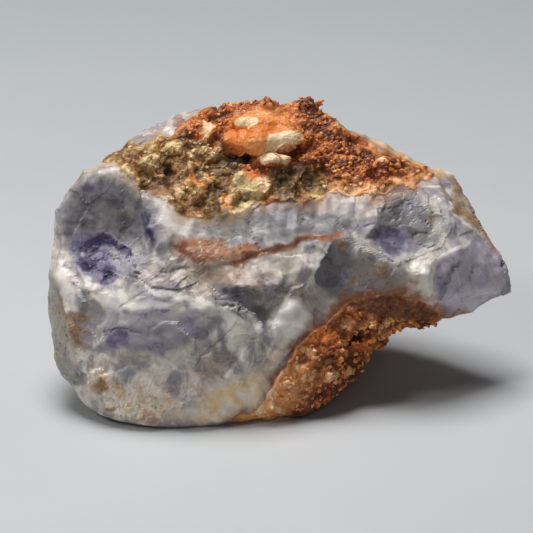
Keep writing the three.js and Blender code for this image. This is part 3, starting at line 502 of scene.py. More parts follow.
# dull red-brown dust
DUSTY = [
    (16.4, 13.2, 8.6, 1.7, -6, 1.0), (8.2, 9.8, 2.4, 2.2, 40, 0.7), (3.6, 5.8, 2.4, 1.2, 46, 0.5)]
# greenish grey along the left end: partly the opal's own olive tint, partly painted shade and a painted
# greenish reflection where the end turns away
FLANK_TINT_AND_SHADE = [
    (-34.0, 9.0, 2.0, 9.0, 0, 1.0), (-31.8, 4.0, 1.6, 3.4, 30, 0.5), (-24.8, 28.6, 4.0, 4.6, 0, 0.3)]
# lumps of clay
PALE = [
    (-0.4, 37.9, 2.8, 1.2, 14, 1.0), (-4.8, 40.8, 1.8, 0.8, 16, 1.0), (-0.9, 35.0, 2.5, 0.9, -6, 0.95),
    (-2.6, 31.4, 1.2, 1.6, -20, 0.6), (-7.0, 32.0, 1.2, 0.5, 10, 0.6), (-10.7, 32.3, 1.3, 1.1, 0, 0.7),
    (-8.4, 28.8, 1.0, 1.9, 8, 0.75), (-13.2, 33.0, 1.2, 1.5, 0, 0.75), (-11.0, 39.9, 1.0, 1.7, 8, 0.6),
    (12.9, 32.1, 1.5, 0.9, 0, 0.55), (15.0, 35.6, 0.8, 0.5, 0, 0.7), (-15.6, 30.6, 1.0, 0.8, 0, 0.6),
    (-18.0, 33.3, 0.9, 0.8, 0, 0.55), (4.4, 6.5, 1.0, 0.8, 0, 0.6), (3.4, 3.8, 1.1, 1.0, 0, 0.7),
    (7.5, 2.9, 1.0, 0.9, 0, 0.6), (9.8, 3.7, 0.8, 0.8, 0, 0.6), (0.9, 1.0, 1.1, 0.8, 0, 0.6),
    (0.4, -0.7, 0.9, 0.7, 0, 0.6), (12.5, 10.2, 0.6, 0.5, 0, 0.8), (14.0, 10.5, 0.5, 0.4, 0, 0.8),
    (16.3, 10.9, 0.6, 0.4, 0, 0.8), (-2.6, -1.4, 1.6, 1.0, 0, 0.4), (9.4, 34.4, 1.6, 0.9, 0, 0.3),
    (13.0, 36.6, 2.2, 0.8, -25, 0.3)]
ORANGE = [
    (-2.4, 39.9, 3.6, 1.6, 10, 1.0), (-6.6, 38.6, 1.6, 2.2, 0, 0.8), (-4.0, 32.0, 3.0, 2.0, -12, 0.8),
    (-11.6, 38.4, 1.6, 1.4, 0, 0.5), (4.6, 37.6, 2.6, 3.4, 0, 0.35), (15.0, 33.4, 5.0, 1.6, -12, 0.4),
    (6.6, 8.6, 3.0, 1.6, 40, 0.5), (12.0, 7.2, 2.4, 0.9, 25, 0.7), (4.4, 1.6, 3.4, 1.8, 0, 0.35)]
# holes and pits, painted almost black as the shade inside them
PITS_IN_SHADE = [
    (-6.2, 35.6, 2.4, 1.0, -4, 0.8), (-8.4, 34.2, 2.6, 1.4, 0, 0.45), (-16.4, 33.4, 0.7, 0.6, 0, 0.6),
    (-8.6, 31.6, 1.0, 0.8, 0, 0.5), (1.6, 32.8, 3.0, 1.0, 0, 0.4), (10.6, 8.2, 1.0, 0.5, 20, 0.9),
    (11.6, 9.2, 0.8, 0.5, 0, 0.7), (7.9, 5.6, 1.2, 0.5, 0, 0.6), (6.4, 4.9, 0.7, 0.6, 0, 0.5),
    (-12.4, 35.4, 1.2, 0.8, 0, 0.5), (-5.6, 29.4, 1.0, 0.8, 0, 0.5), (26.7, 27.9, 0.8, 0.7, 0, 1.0)]


# %% From marks to masks
def either(*masks):
    """Masks laid over each other."""
    clear = 1.0
    for mask in masks:
        clear = clear * (1 - mask)
    return 1 - clear


def colour_masks(places, depth):
    """All masks of a mesh, by name. The front's marks are placed, and the back's come from noise."""
    rind = fade(depth, -0.25, 0.25)
    points = places.points
    ragged = places.ragged
    stirred = places.stirred
    still = (places.across, places.up)
    clear = 1 - rind
    behind = 1 - places.front
    haze = cloud(points, 14, 11, 3)
    depths = cloud(points, 9, 12, 3)
    rusty = cloud(points, 8, 13, 3)
    milk = cloud(points, 6, 14, 3)
    honeyed = patches(*ragged, AMBER)
    near_rind = fade(depth, -3.4, 0.0) * (1 - 0.35 * places.front * fade(places.up, 14, 24))

    def both(front_mask, back_mask):
        return np.clip(front_mask * places.front + back_mask * behind, 0, 1)

    violet = either(patches(*ragged, VIOLET), strokes(*stirred, VIOLET_LINES))
    white_and_highlights = either(patches(*ragged, WHITE), strokes(*stirred, WHITE_AND_HIGHLIGHT_LINES))
    rust = either(patches(*ragged, RUST), strokes(*ragged, RUST_LINES), strokes(*still, RIM_EDGE))
    ochre = either(patches(*ragged, OCHRE), strokes(*ragged, OCHRE_LINES))
    amber = either(honeyed, strokes(*stirred, RIM))
    return {
        "rind": rind,
        "violet": both(violet, 0.75 * fade(depths, 0.05, 0.7)) * clear,
        "even": both(patches(*ragged, EVEN), 0.6 * fade(-depths, 0.0, 0.6)) * clear,
        "ink_and_flank_shade": both(patches(*ragged, INK_AND_FLANK_SHADE, 0.6), 0.5 * fade(depths, 0.55, 0.95)) * clear,
        "grey_and_recess_shade": both(patches(*ragged, GREY_AND_RECESS_SHADE), 0.7 * fade(haze, 0, 0.6)) * clear,
        "white_and_highlights": both(white_and_highlights, 0.8 * fade(milk, 0.05, 0.6)) * clear,
        "rust": both(rust, 0.8 * fade(rusty, 0.35, 0.7)) * clear,
        "ochre": both(ochre, 0.6 * fade(rusty, 0.1, 0.5)) * clear,
        "cream": both(patches(*ragged, CREAM), 0.5 * fade(-haze, 0.3, 0.7)) * clear,
        "wash": both(patches(*ragged, WASH, 0.7), 0.6 * fade(rusty, -0.3, 0.5)) * clear,
        "amber": both(amber, 0.4 * fade(-haze, 0.4, 0.8)) * clear,
        "specks": both(patches(*ragged, SPECKS), 0.4 * fade(milk, -0.2, 0.4)) * clear,
        "crack": both(strokes(*still, CRACKS), 0) * clear,
        "flank_tint_and_shade": both(patches(*ragged, FLANK_TINT_AND_SHADE), 0.3 * fade(rusty, -0.2, 0.5)) * clear,
        "halo": near_rind * (1 - 0.7 * honeyed),
        "olive": both(patches(*ragged, OLIVE), 0.8 * fade(haze, 0.1, 0.5)),
        "honey": both(patches(*ragged, HONEYED), 0.6 * fade(milk, 0.1, 0.5)) * rind,
        "dusty": both(patches(*ragged, DUSTY), 0) * rind,
        "pale": both(patches(*ragged, PALE, 0.35), 0.6 * fade(milk, 0.35, 0.6)) * rind,
        "orange": both(patches(*ragged, ORANGE), 0.6 * fade(rusty, -0.1, 0.5)) * rind,
        "pit_shade": both(patches(*ragged, PITS_IN_SHADE), 0.45 * fade(-milk, 0.3, 0.6)) * rind,
    }


def store(mesh, masks):
    for name, values in masks.items():
        layer = mesh.attributes.new(name, "FLOAT", "POINT")
        layer.data.foreach_set("value", values.astype(np.float32))


# %% [markdown]
# ## The small relief
#
# Opal breaks like thick glass: in shallow shells with faint ripples, chipped into small flakes where it
# is full of cracks. The rind is the opposite: clay and iron crusts in rounded crumbs, with pits between
# them, and it stands a little above the opal at its edge. Both are made by moving the corners of the net
# along their normals. A displacement modifier could do it too, but one line of arithmetic on all corners
# at once can use every mask.

# %% Marks for the relief
# opal that is full of cracks and has broken into small chips
CHIPPED = [
    (-22.5, 19.6, 7.0, 3.6, -8, 1.0), (-16.0, 18.6, 5.0, 3.0, 0, 0.8), (20.4, 27.6, 4.6, 3.4, -30, 1.0),
    (14.0, 17.8, 6.0, 3.6, -10, 0.5), (-4.0, 13.4, 4.6, 3.4, 0, 0.5), (-20.0, -0.6, 8.0, 3.6, 0, 0.9),
    (-30.0, 6.0, 3.4, 8.0, 0, 0.7), (22.6, 20.8, 2.4, 1.6, 0, 0.7), (-8.0, 20.6, 6.0, 2.4, 0, 0.5)]
# Each strike is the place that a shell's ripples spread from, and the ripples' length.
STRIKES = [(31, 22, 1.9), (-22, 30, 2.4), (6, 30, 2.2)]
RIPPLE = 0.035  # height of a ripple
# Each ledge is its height, its width and its line. The surface on the left of the walk is raised.
LEDGES = [
    (2.0, 7, [(-3.4, 7.0), (-2.5, 9.3), (-4.0, 12.2), (-6.3, 13.7), (-9.4, 14.4), (-11.5, 16.3)]),
    (1.2, 4, [(-2.4, 9.0), (-4.5, 8.4), (-6.0, 6.6), (-7.2, 4.2), (-8.8, 2.2)]),
    (1.6, 6, [(4.2, 17.1), (1.6, 15.8), (-0.1, 13.5), (-1.2, 10.5), (-0.6, 7.2)]),
    (1.3, 4, [(5.7, 15.8), (5.1, 18.4), (6.5, 20.8), (8.5, 23.6)]),
    (1.0, 5, [(22.8, 18.3), (20.2, 18.8), (17.2, 19.9), (14.5, 21.3), (11.7, 22.2), (8.5, 23.6)]),
    (0.6, 3.5, [(23.1, 12.4), (22.6, 16.2), (22.6, 19.6), (24.9, 21.9)]),
    (1.2, 5, [(-22.5, 34.5), (-21.4, 31.5), (-20.2, 28.8), (-19.3, 26.8), (-19.6, 24.0), (-20.4, 21.8)]),
    (0.9, 4, [(-30.0, 11.2), (-29.1, 13.9), (-30.1, 16.9), (-32.5, 19.5), (-34.4, 20.6)]),
    (0.6, 3.5, [(-35.1, 20.2), (-33.8, 16.5), (-32.1, 13.5), (-32.5, 10.2), (-32.1, 6.8), (-32.7, 3.4)]),
    (0.35, 5, [(-7.8, 2.1), (-12.0, 3.3), (-18.0, 4.3), (-24.0, 3.9), (-27.8, 2.7), (-30.0, 1.1)]),
    (0.6, 4, [(-15.0, 19.9), (-11.2, 19.1), (-6.8, 19.9), (-2.7, 21.8), (3.0, 23.2), (9.0, 24.6)]),
    (1.5, 4, [(-9.2, 15.8), (-6.0, 15.8), (-2.7, 15.8), (-0.6, 16.6), (1.8, 18.1)]),
    (0.5, 3, [(-23.7, 19.2), (-20.7, 17.4), (-18.9, 16.1), (-17.2, 15.8), (-14.8, 15.8), (-12.2, 16.9)]),
    (0.6, 3, [(-19.2, 21.4), (-17.6, 22.6), (-15.0, 22.1), (-12.6, 19.9), (-11.2, 16.8)]),
    (0.6, 3, [(26.4, 23.2), (25.8, 27.0), (24.4, 30.4), (23.2, 33.4)]),
    (0.6, 3, [(12.0, 23.2), (14.1, 24.4), (15.3, 27.4), (16.2, 29.8)]),
    (0.4, 3, [(-31.2, 16.8), (-29.4, 15.8), (-27.4, 15.4), (-25.8, 16.3)]),
    (0.5, 2.5, [(-15.6, 16.8), (-17.2, 18.3), (-16.5, 19.9), (-14.4, 19.9)]),
    (0.35, 3, [(-10.2, 7.5), (-13.0, 8.5), (-15.6, 10.7), (-18.0, 10.9), (-19.8, 9.2)]),
    (0.5, 3, [(-9.3, -3.8), (-11.2, -1.5), (-12.6, 0.4), (-14.4, 1.8)])]
# clay that is smooth, not crumbly
SLABS = [
    (-2.6, 40.0, 5.2, 3.4, 12, 1.0), (-1.0, 35.4, 3.2, 1.2, -6, 0.9), (-4.0, 31.2, 3.2, 2.0, -12, 0.8),
    (-6.4, 38.0, 2.0, 2.4, 0, 0.8), (-11.0, 39.6, 1.4, 1.8, 0, 0.6)]
SLAB_LEDGES = [
    (1.7, 5, [(-8.2, 36.2), (-6.0, 35.6), (-3.0, 36.9), (0.2, 37.0), (3.0, 38.8), (3.6, 41.0)]),
    (1.3, 3, [(-4.4, 35.0), (-1.6, 34.2), (1.0, 34.4), (2.2, 35.6)]),
    (1.4, 3, [(-7.6, 30.6), (-5.2, 29.4), (-2.4, 29.4), (-0.8, 30.8), (-1.2, 32.8)]),
    (1.2, 3, [(-12.6, 38.0), (-11.0, 37.4), (-9.6, 38.6), (-9.8, 40.6)])]
RIND_STEP = 0.22  # how far the rind stands above the opal


# %% Helpers: ledges, flakes and crumbs
def ledges(across, up, wobble, lines):
    """Steps along lines, in millimetres. A ledge is its height, its width and the places it goes through.

    The surface on the left of the walk is raised at the line and falls back over the width. The wobble,
    about -1 to 1, makes a ledge higher in one place than in another."""
    total = np.zeros(len(across))
    for high, wide, line in lines:
        nearest = np.full(len(across), 1e9)
        left = np.zeros(len(across))
        along = np.zeros(len(across))
        for i, ((x0, y0), (x1, y1)) in enumerate(zip(line, line[1:])):
            dx, dy = x1 - x0, y1 - y0
            t = np.clip(((across - x0) * dx + (up - y0) * dy) / (dx * dx + dy * dy), 0, 1)
            away = np.hypot(across - x0 - t * dx, up - y0 - t * dy)
            closer = away < nearest
            nearest = np.where(closer, away, nearest)
            left = np.where(closer, np.sign(dx * (up - y0) - dy * (across - x0)), left)
            along = np.where(closer, (i + t) / (len(line) - 1), along)
        ends = fade(along, 0, 0.25) * (1 - fade(along, 0.75, 1))
        side = nearest * left
        total += high * ends * fade(side, -0.2, 0.25) * (1 - fade(side, 0.2, wide))
    return total * np.clip(0.8 + 0.6 * wobble, 0.1, 1.6)


def flakes(points, size, tilt, seed):
    """Flat chips at odd tilts, in millimetres. Their borders are curved by shaking the places."""
    shake = np.stack([cloud(points, size * 1.5, seed + k) for k in range(3)], axis=1)
    shaken = points + shake * 0.35 * size * MM
    _, _, centres, places = grains(shaken, size, seed)
    return np.einsum("ij,ij->i", places - centres, dice(centres, seed)) * tilt * size


def crumbs(points, size, seed):
    """Rounded crumbs, from 0 in the creases between them to about 1 on top, and each crumb's tone."""
    near, next_near, centres, _ = grains(points, size, seed)
    tones = dice(centres, seed)
    return fade(next_near - near, 0, 0.6) * (1.1 - near) * (0.8 + 0.35 * tones[:, 0]), tones[:, 1]


# %% Shape the relief
def opal_height(places, wobble, middling, tiny):
    """The opal's relief, in millimetres: swells, ripples, chips, ledges, cracks and a chalky skin."""
    points = places.points
    chipped = patches(*places.ragged, CHIPPED) * places.front + 0.25 * (1 - places.front)
    ripples = sum(
        np.sin(2 * np.pi * np.hypot(places.across - x, places.up - y) / length) * RIPPLE
        for x, y, length in STRIKES)
    chips = flakes(points, 2.6, 0.16, 22) + flakes(points, 1.2, 0.12, 23)
    height = 0.14 * cloud(points, 5.5, 21, 2) + 0.035 * cloud(points, 1.3, 24, 2)
    height += flakes(points, 6.5, 0.035, 25) + ripples * (1 - chipped) + chips * chipped
    height += (0.95 * ledges(*places.stirred, wobble, LEDGES) - 0.2) * places.front
    height -= 0.16 * strokes(*places.stirred, CRACKS) * places.front
    chalky = patches(*places.ragged, CREAM[:3]) * places.front
    return height + chalky * (0.3 * middling + 0.3 * tiny - 0.2)


def relief(places, rind_depth):
    """How far each corner moves along its normal, in millimetres, and masks of the rind's crumbs, which
    carry their painted light and shade.
    """
    points = places.points
    wobble = cloud(points, 2.6, 40)
    big, big_tone = crumbs(points, 3.1, 32)
    middling, middling_tone = crumbs(points, 1.3, 33)
    tiny, _ = crumbs(points, 0.7, 34)
    lumpy = patches(*places.ragged, OLIVE)
    # holes and pits, sunk into the crust and painted with shade
    pit_shade = patches(*places.ragged, PITS_IN_SHADE) * places.front
    rough = 1 - 0.85 * patches(*places.stirred, SLABS) * places.front
    rough = rough * (1 - 0.5 * patches(*places.stirred, DUSTY) * places.front)

    crumbled = (0.35 + 1.25 * lumpy) * big + (0.6 - 0.2 * lumpy) * middling + 0.28 * tiny
    crumbled = crumbled - 0.5 - 0.4 * lumpy
    crust = RIND_STEP + 0.4 * cloud(points, 3.4, 31, 2) + rough * crumbled + 0.1 * cloud(points, 0.7, 35)
    crust = crust * (0.15 + 0.85 * fade(rind_depth, 0, 2.0))
    crust += ledges(*places.stirred, wobble, SLAB_LEDGES) * places.front
    crust -= 0.8 * pit_shade

    # painted light on the crumbs' crests and painted shade in their creases, with less shade near the
    # rind's edge
    crumb_light_and_shade = (0.2 + 0.4 * lumpy) * big + (0.5 - 0.15 * lumpy) * middling + 0.25 * tiny
    least = 0.4 * (1 - fade(rind_depth, 0.3, 1.4))
    crumb_light_and_shade = np.clip(crumb_light_and_shade * rough + 0.75 * (1 - rough), least, 1)
    tones = (0.3 + 0.3 * lumpy) * big_tone + (0.5 - 0.2 * lumpy) * middling_tone
    off_floor = fade(points[:, 2], 0.9 * MM, 1.9 * MM)
    grainy = fade(rind_depth, 0.2, 1.2) * fade(rough, 0.4, 0.9) * (1 - 0.9 * lumpy) * (1 - pit_shade) * off_floor

    rind = fade(rind_depth, -0.15, 0.35)
    height = opal_height(places, wobble, middling, tiny) * (1 - rind) + crust * rind
    return height, {"crest_light_crease_shade": crumb_light_and_shade, "tone": tones * rough, "grainy": grainy}


def roughen(piece):
    mesh = piece.data
    points = read_points(mesh)
    places = Places(points, read_normals(mesh))
    depth = places.rind_depth()
    height, crumb_masks = relief(places, depth)
    store(mesh, colour_masks(places, depth) | crumb_masks)
    floor = fade(points[:, 2], 0.15 * MM, 1.2 * MM)
    write_points(mesh, points + read_normals(mesh) * (height * floor * MM)[:, None])
    return (depth > 0).mean()


print("the rind covers", round(100 * roughen(stone)), "% of the stone")

# %% [markdown]
# ## The material
#
# One material covers the stone, because opal and rind grade into each other. It mixes colours layer by
# layer, from the milky ground up to the stains, each layer where its mask says, with the mask's edge
# broken by fine noise. Light enters opal and spreads under its skin, which subsurface scattering gives.
# The stone is wet, so a thin clear coat lies over everything.

# %% Helpers: wiring a material
class Wires:
    """Adds nodes to a material and links them, so that a mix reads like a sentence."""

    def __init__(self, material):
        material.use_nodes = True
        self.tree = material.node_tree
        self.shader = self.tree.nodes["Principled BSDF"]
        self.place = self.add("ShaderNodeTexCoord").outputs["Object"]

    def add(self, kind, **settings):
        node = self.tree.nodes.new(kind)
        for name, value in settings.items():
            setattr(node, name, value)
        return node

    def put(self, socket, value):
        """Links a socket to another's output, or sets its value."""
        if isinstance(value, bpy.types.NodeSocket):
            self.tree.links.new(value, socket)
        else:
            socket.default_value = value

    def mask(self, name):
        return self.add("ShaderNodeAttribute", attribute_name=name).outputs["Fac"]

    def noise(self, size, detail=4.0, roughness=0.55, distortion=0.0, seed=0.0, tall=1.0):
        """Noise whose lumps are about size millimetres across, and taller than wide if asked."""
        shift = self.add("ShaderNodeVectorMath", operation="MULTIPLY_ADD")
        self.put(shift.inputs[0], self.place)
        shift.inputs[1].default_value = (1, 1, 1 / tall)
        shift.inputs[2].default_value = (seed * 0.11, seed * 0.07, seed * 0.05)
        node = self.add("ShaderNodeTexNoise")
        self.put(node.inputs["Vector"], shift.outputs[0])
        node.inputs["Scale"].default_value = 1 / (size * MM)
        node.inputs["Detail"].default_value = detail
        node.inputs["Roughness"].default_value = roughness
        node.inputs["Distortion"].default_value = distortion
        return node.outputs["Fac"]

    def split(self, vector):
        """The three numbers of a vector."""
        node = self.add("ShaderNodeSeparateXYZ")
        self.put(node.inputs[0], vector)
        return node.outputs

    def cells(self, size, feature="F1", randomness=1.0):
        node = self.add("ShaderNodeTexVoronoi", feature=feature)
        self.put(node.inputs["Vector"], self.place)
        node.inputs["Scale"].default_value = 1 / (size * MM)
        node.inputs["Randomness"].default_value = randomness
        return node.outputs["Distance"]

    def math(self, operation, first, second=0.5):
        node = self.add("ShaderNodeMath", operation=operation)
        self.put(node.inputs[0], first)
        self.put(node.inputs[1], second)
        return node.outputs[0]

    def between(self, value, low, high, out_low=0.0, out_high=1.0):
        node = self.add("ShaderNodeMapRange", interpolation_type="SMOOTHSTEP")
        for socket, number in zip(node.inputs, (value, low, high, out_low, out_high)):
            self.put(socket, number)
        return node.outputs["Result"]

    def mix(self, amount, first, second):
        """A colour between two, by the amount from 0 to 1."""
        node = self.add("ShaderNodeMix", data_type="RGBA")
        self.put(node.inputs[0], amount)
        for socket, colour in ((node.inputs[6], first), (node.inputs[7], second)):
            self.put(socket, colour if isinstance(colour, bpy.types.NodeSocket) else (*colour, 1.0))
        return node.outputs[2]

    def blend(self, amount, first, second):
        """A number between two, by the amount from 0 to 1."""
        node = self.add("ShaderNodeMix", data_type="FLOAT")
        for place, value in ((0, amount), (2, first), (3, second)):
            self.put(node.inputs[place], value)
        return node.outputs[0]

    def ragged(self, name, fine, push=0.45, low=0.15, high=0.75):
        """A mask whose edge is broken up by noise."""
        push = self.math("MULTIPLY", self.math("SUBTRACT", fine, 0.5), push)
        shaken = self.math("ADD", self.mask(name), push)
        near = self.between(self.mask(name), 0.0, 0.12)
        return self.math("MULTIPLY", self.between(shaken, low, high), near)

    def cover(self, under, over, name, fine, push=0.45, low=0.15, high=0.75, share=1.0):
        """One colour laid over another where a ragged mask says."""
        amount = self.math("MULTIPLY", self.ragged(name, fine, push, low, high), share)
        return self.mix(amount, under, over)


# %% The stone's colours
# The opal, from milk to ink
CHALK = (0.88, 0.83, 0.77)
MILK = (0.71, 0.645, 0.575)
MIST = (0.335, 0.31, 0.325)
SMOKE_LIGHT = (0.225, 0.205, 0.23)
SMOKE = (0.115, 0.11, 0.12)
PALE_LILAC = (0.64, 0.58, 0.71)
LILAC = (0.44, 0.40, 0.46)
MAUVE = (0.31, 0.285, 0.34)
VIOLET_DEEP = (0.09, 0.072, 0.165)
INDIGO = (0.018, 0.012, 0.062)

# Skins and stains on the opal
CREAMY = (0.60, 0.40, 0.17)
HONEY = (0.95, 0.68, 0.35)
BEIGE = (0.36, 0.25, 0.165)
OLIVE_GREY = (0.29, 0.28, 0.17)
COPPER = (0.46, 0.185, 0.062)
STAIN = (0.30, 0.095, 0.03)
OCHRE_TONE = (0.42, 0.26, 0.09)
EARTH = (0.21, 0.092, 0.022)
SPECK = (0.22, 0.105, 0.03)
SHADOW = (0.03, 0.025, 0.03)

# The rind
# Mixed by how high a crumb stands, the darker colours here are painted shade in the creases and the lighter
# ones painted light on the crests
CLAY = (0.92, 0.67, 0.41)
STRAW_CREST_LIGHT = (0.80, 0.60, 0.29)
TAN = (0.84, 0.345, 0.10)
BRIGHT = (0.74, 0.205, 0.035)
RED_BROWN = (0.42, 0.105, 0.02)
BROWN_AND_CREASE_SHADE = (0.10, 0.022, 0.005)
DUST = (0.33, 0.135, 0.042)
RUSSET = (0.27, 0.075, 0.016)
MOSS = (0.38, 0.23, 0.075)
UMBER_CREASE_SHADE = (0.11, 0.056, 0.02)
# almost black, the painted shade inside holes and pits
PIT_SHADE_COLOUR = (0.040, 0.020, 0.010)


# %% The opal's own colours
def opal_colour(paint, fine, medium):
    """Veils and wisps of milk and smoke, and over them each clearer or chalkier part of the opal."""
    veil = paint.noise(4.0, 4.0, 0.5, 1.1, seed=1, tall=1.4)
    colour = paint.mix(paint.between(veil, 0.42, 0.58), MIST, MILK)
    wisps = paint.noise(1.7, 6.0, 0.62, 1.4, seed=10)
    colour = paint.mix(paint.between(wisps, 0.34, 0.52, 0.35, 0.0), colour, SMOKE_LIGHT)
    colour = paint.mix(paint.between(wisps, 0.52, 0.66, 0.0, 0.35), colour, CHALK)
    blush = paint.between(paint.noise(4.0, 4.0, 0.6, 0.5, seed=2), 0.5, 0.72)
    colour = paint.mix(paint.math("MULTIPLY", blush, 0.35), colour, LILAC)
    colour = paint.cover(colour, BEIGE, "wash", medium, 0.9, 0.1, 1.0, share=0.75)
    # clear opal, dark inside, and painted shade in the recess above the boss
    smoke_and_shade = paint.mix(paint.between(medium, 0.3, 0.7), SMOKE, MIST)
    colour = paint.cover(colour, smoke_and_shade, "grey_and_recess_shade", medium)
    lilac = paint.mix(paint.between(medium, 0.3, 0.6), LILAC, PALE_LILAC)
    colour = paint.cover(colour, lilac, "even", medium, 0.4, 0.1, 0.8, share=0.75)
    violet = paint.ragged("violet", wisps, 1.1, 0.0, 1.0)
    tint = paint.mix(paint.between(violet, 0.4, 1.05), MAUVE, VIOLET_DEEP)
    colour = paint.mix(paint.between(violet, 0.0, 0.7, 0.0, 0.9), colour, tint)
    # almost black violet, and painted shade on the steep flank left of the white bulge
    colour = paint.cover(colour, INDIGO, "ink_and_flank_shade", wisps, 1.2, 0.2, 0.9, share=0.95)
    # milky opal, and painted highlights along ridges
    colour = paint.cover(colour, CHALK, "white_and_highlights", medium, 0.5, 0.2, 0.85, share=0.85)
    chalky = paint.mix(paint.between(paint.noise(1.6, 6.0, 0.7, 0.8, seed=11), 0.3, 0.62), CREAMY, CHALK)
    colour = paint.cover(colour, chalky, "cream", wisps, 0.9, 0.1, 0.9)
    honeyed = paint.mix(paint.between(medium, 0.44, 0.68), HONEY, CHALK)
    colour = paint.cover(colour, honeyed, "amber", medium, 0.7, 0.0, 1.3)
    # the left end's olive tint, with painted shade and a painted greenish reflection
    mossy_and_shade = paint.mix(paint.between(wisps, 0.35, 0.65), SMOKE_LIGHT, OLIVE_GREY)
    return paint.cover(colour, mossy_and_shade, "flank_tint_and_shade", medium, 0.6, share=0.75)


# %% What iron left on the opal
def stained(paint, colour, fine, medium):
    """The opal's colour under dust beside the rind, then under stains, specks and cracks."""
    dust = paint.math("MULTIPLY", paint.mask("halo"), paint.between(medium, 0.3, 0.7, 0.6, 1.3))
    dust_colour = paint.mix(paint.between(fine, 0.35, 0.65), RUSSET, DUST)
    dust_colour = paint.mix(paint.between(paint.mask("olive"), 0.1, 0.5), dust_colour, MOSS)
    colour = paint.mix(paint.between(dust, 0.1, 1.1, 0.0, 0.95), colour, dust_colour)
    streaks = paint.noise(1.3, 7.0, 0.7, 1.8, seed=13)
    rust = paint.mix(paint.between(medium, 0.38, 0.62), STAIN, COPPER)
    colour = paint.cover(colour, rust, "rust", streaks, 1.7, 0.1, 1.15, share=0.95)
    ochre = paint.mix(paint.between(fine, 0.4, 0.62), EARTH, OCHRE_TONE)
    colour = paint.cover(colour, ochre, "ochre", fine, 0.9, 0.15, 1.1, share=0.9)
    dots = paint.between(paint.noise(0.6, 2.0, 0.5, seed=5), 0.62, 0.69)
    colour = paint.mix(paint.math("MULTIPLY", dots, paint.mask("specks")), colour, SPECK)
    cracks = paint.math("MULTIPLY", paint.between(paint.mask("crack"), 0.1, 0.8), 0.8)
    return paint.mix(cracks, colour, SHADOW)


# %% The rind's colours
def rind_colour(paint, fine, medium):
    """Creases are painted dark as shade and the crests of the crumbs painted light, as where light falls on
    them.
    """
    grit = paint.noise(0.6, 5.0, 0.7, 0.4, seed=6)
    crest_light_crease_shade = paint.math("MULTIPLY", paint.math("SUBTRACT", grit, 0.5), 1.2)
    crest_light_crease_shade = paint.math("ADD", paint.mask("crest_light_crease_shade"), crest_light_crease_shade)
    crest_light_crease_shade = paint.math("ADD", crest_light_crease_shade, paint.math("MULTIPLY", paint.mask("tone"), 0.4))
    # from here on, each colour is painted darker as shade in the creases and lighter as light on the crests
    colour = paint.mix(paint.between(crest_light_crease_shade, 0.02, 0.32), BROWN_AND_CREASE_SHADE, RED_BROWN)
    colour = paint.mix(paint.between(crest_light_crease_shade, 0.28, 0.7), colour, TAN)
    dusty = paint.mix(paint.between(medium, 0.4, 0.6), RUSSET, EARTH)
    dusty = paint.mix(paint.between(grit, 0.4, 0.7), BROWN_AND_CREASE_SHADE, dusty)
    colour = paint.cover(colour, dusty, "dusty", medium, 0.7, 0.1, 0.9, share=0.95)
    light = paint.mix(paint.between(crest_light_crease_shade, 0.1, 0.6), TAN, CLAY)
    colour = paint.cover(colour, light, "honey", medium, 0.6, 0.1, 1.0)
    bright = paint.mix(paint.between(crest_light_crease_shade, 0.1, 0.5), RED_BROWN, BRIGHT)
    colour = paint.cover(colour, bright, "orange", medium, 0.6, 0.1, 0.8)
    olive = paint.mix(paint.between(medium, 0.42, 0.6), MOSS, DUST)
    olive = paint.mix(paint.between(crest_light_crease_shade, -0.1, 0.35), UMBER_CREASE_SHADE, olive)
    olive = paint.mix(paint.between(crest_light_crease_shade, 0.3, 0.68), olive, STRAW_CREST_LIGHT)
    colour = paint.cover(colour, olive, "olive", medium, 0.7, 0.2, 0.7)
    clay = paint.mix(paint.between(crest_light_crease_shade, 0.05, 0.5), TAN, CLAY)
    colour = paint.cover(colour, clay, "pale", fine, 0.5, 0.25, 0.7)
    # painted shade inside the holes and pits
    return paint.cover(colour, PIT_SHADE_COLOUR, "pit_shade", fine, 0.6, 0.25, 0.8)


# %% The bumps that are too fine for the net
BUMP = 0.12 * MM
BUMP_STRENGTH = 0.65


def surface_bump(paint, rind, fine):
    """The opal gets soft dents and the rind gets grit."""
    dents = paint.math("MULTIPLY", paint.noise(1.1, 6.0, 0.68, seed=7), 0.9)
    dents = paint.math("ADD", dents, paint.math("MULTIPLY", fine, 0.25))
    grit = paint.math("ADD", paint.noise(0.45, 4.0, 0.65, seed=8), paint.cells(0.5))
    bump = paint.add("ShaderNodeBump")
    bump.inputs["Strength"].default_value = BUMP_STRENGTH
    bump.inputs["Distance"].default_value = BUMP
    paint.put(bump.inputs["Height"], paint.blend(rind, dents, grit))
    return bump.outputs["Normal"]


# %% Put the stone's material together
GLOW = {"opal": 0.65, "rind": 0.08}  # how much of the light goes under the skin
GLOW_REACH = 1.3 * MM
GLOW_TINT = (1.0, 0.9, 0.9)
RIND_WETNESS = 0.12


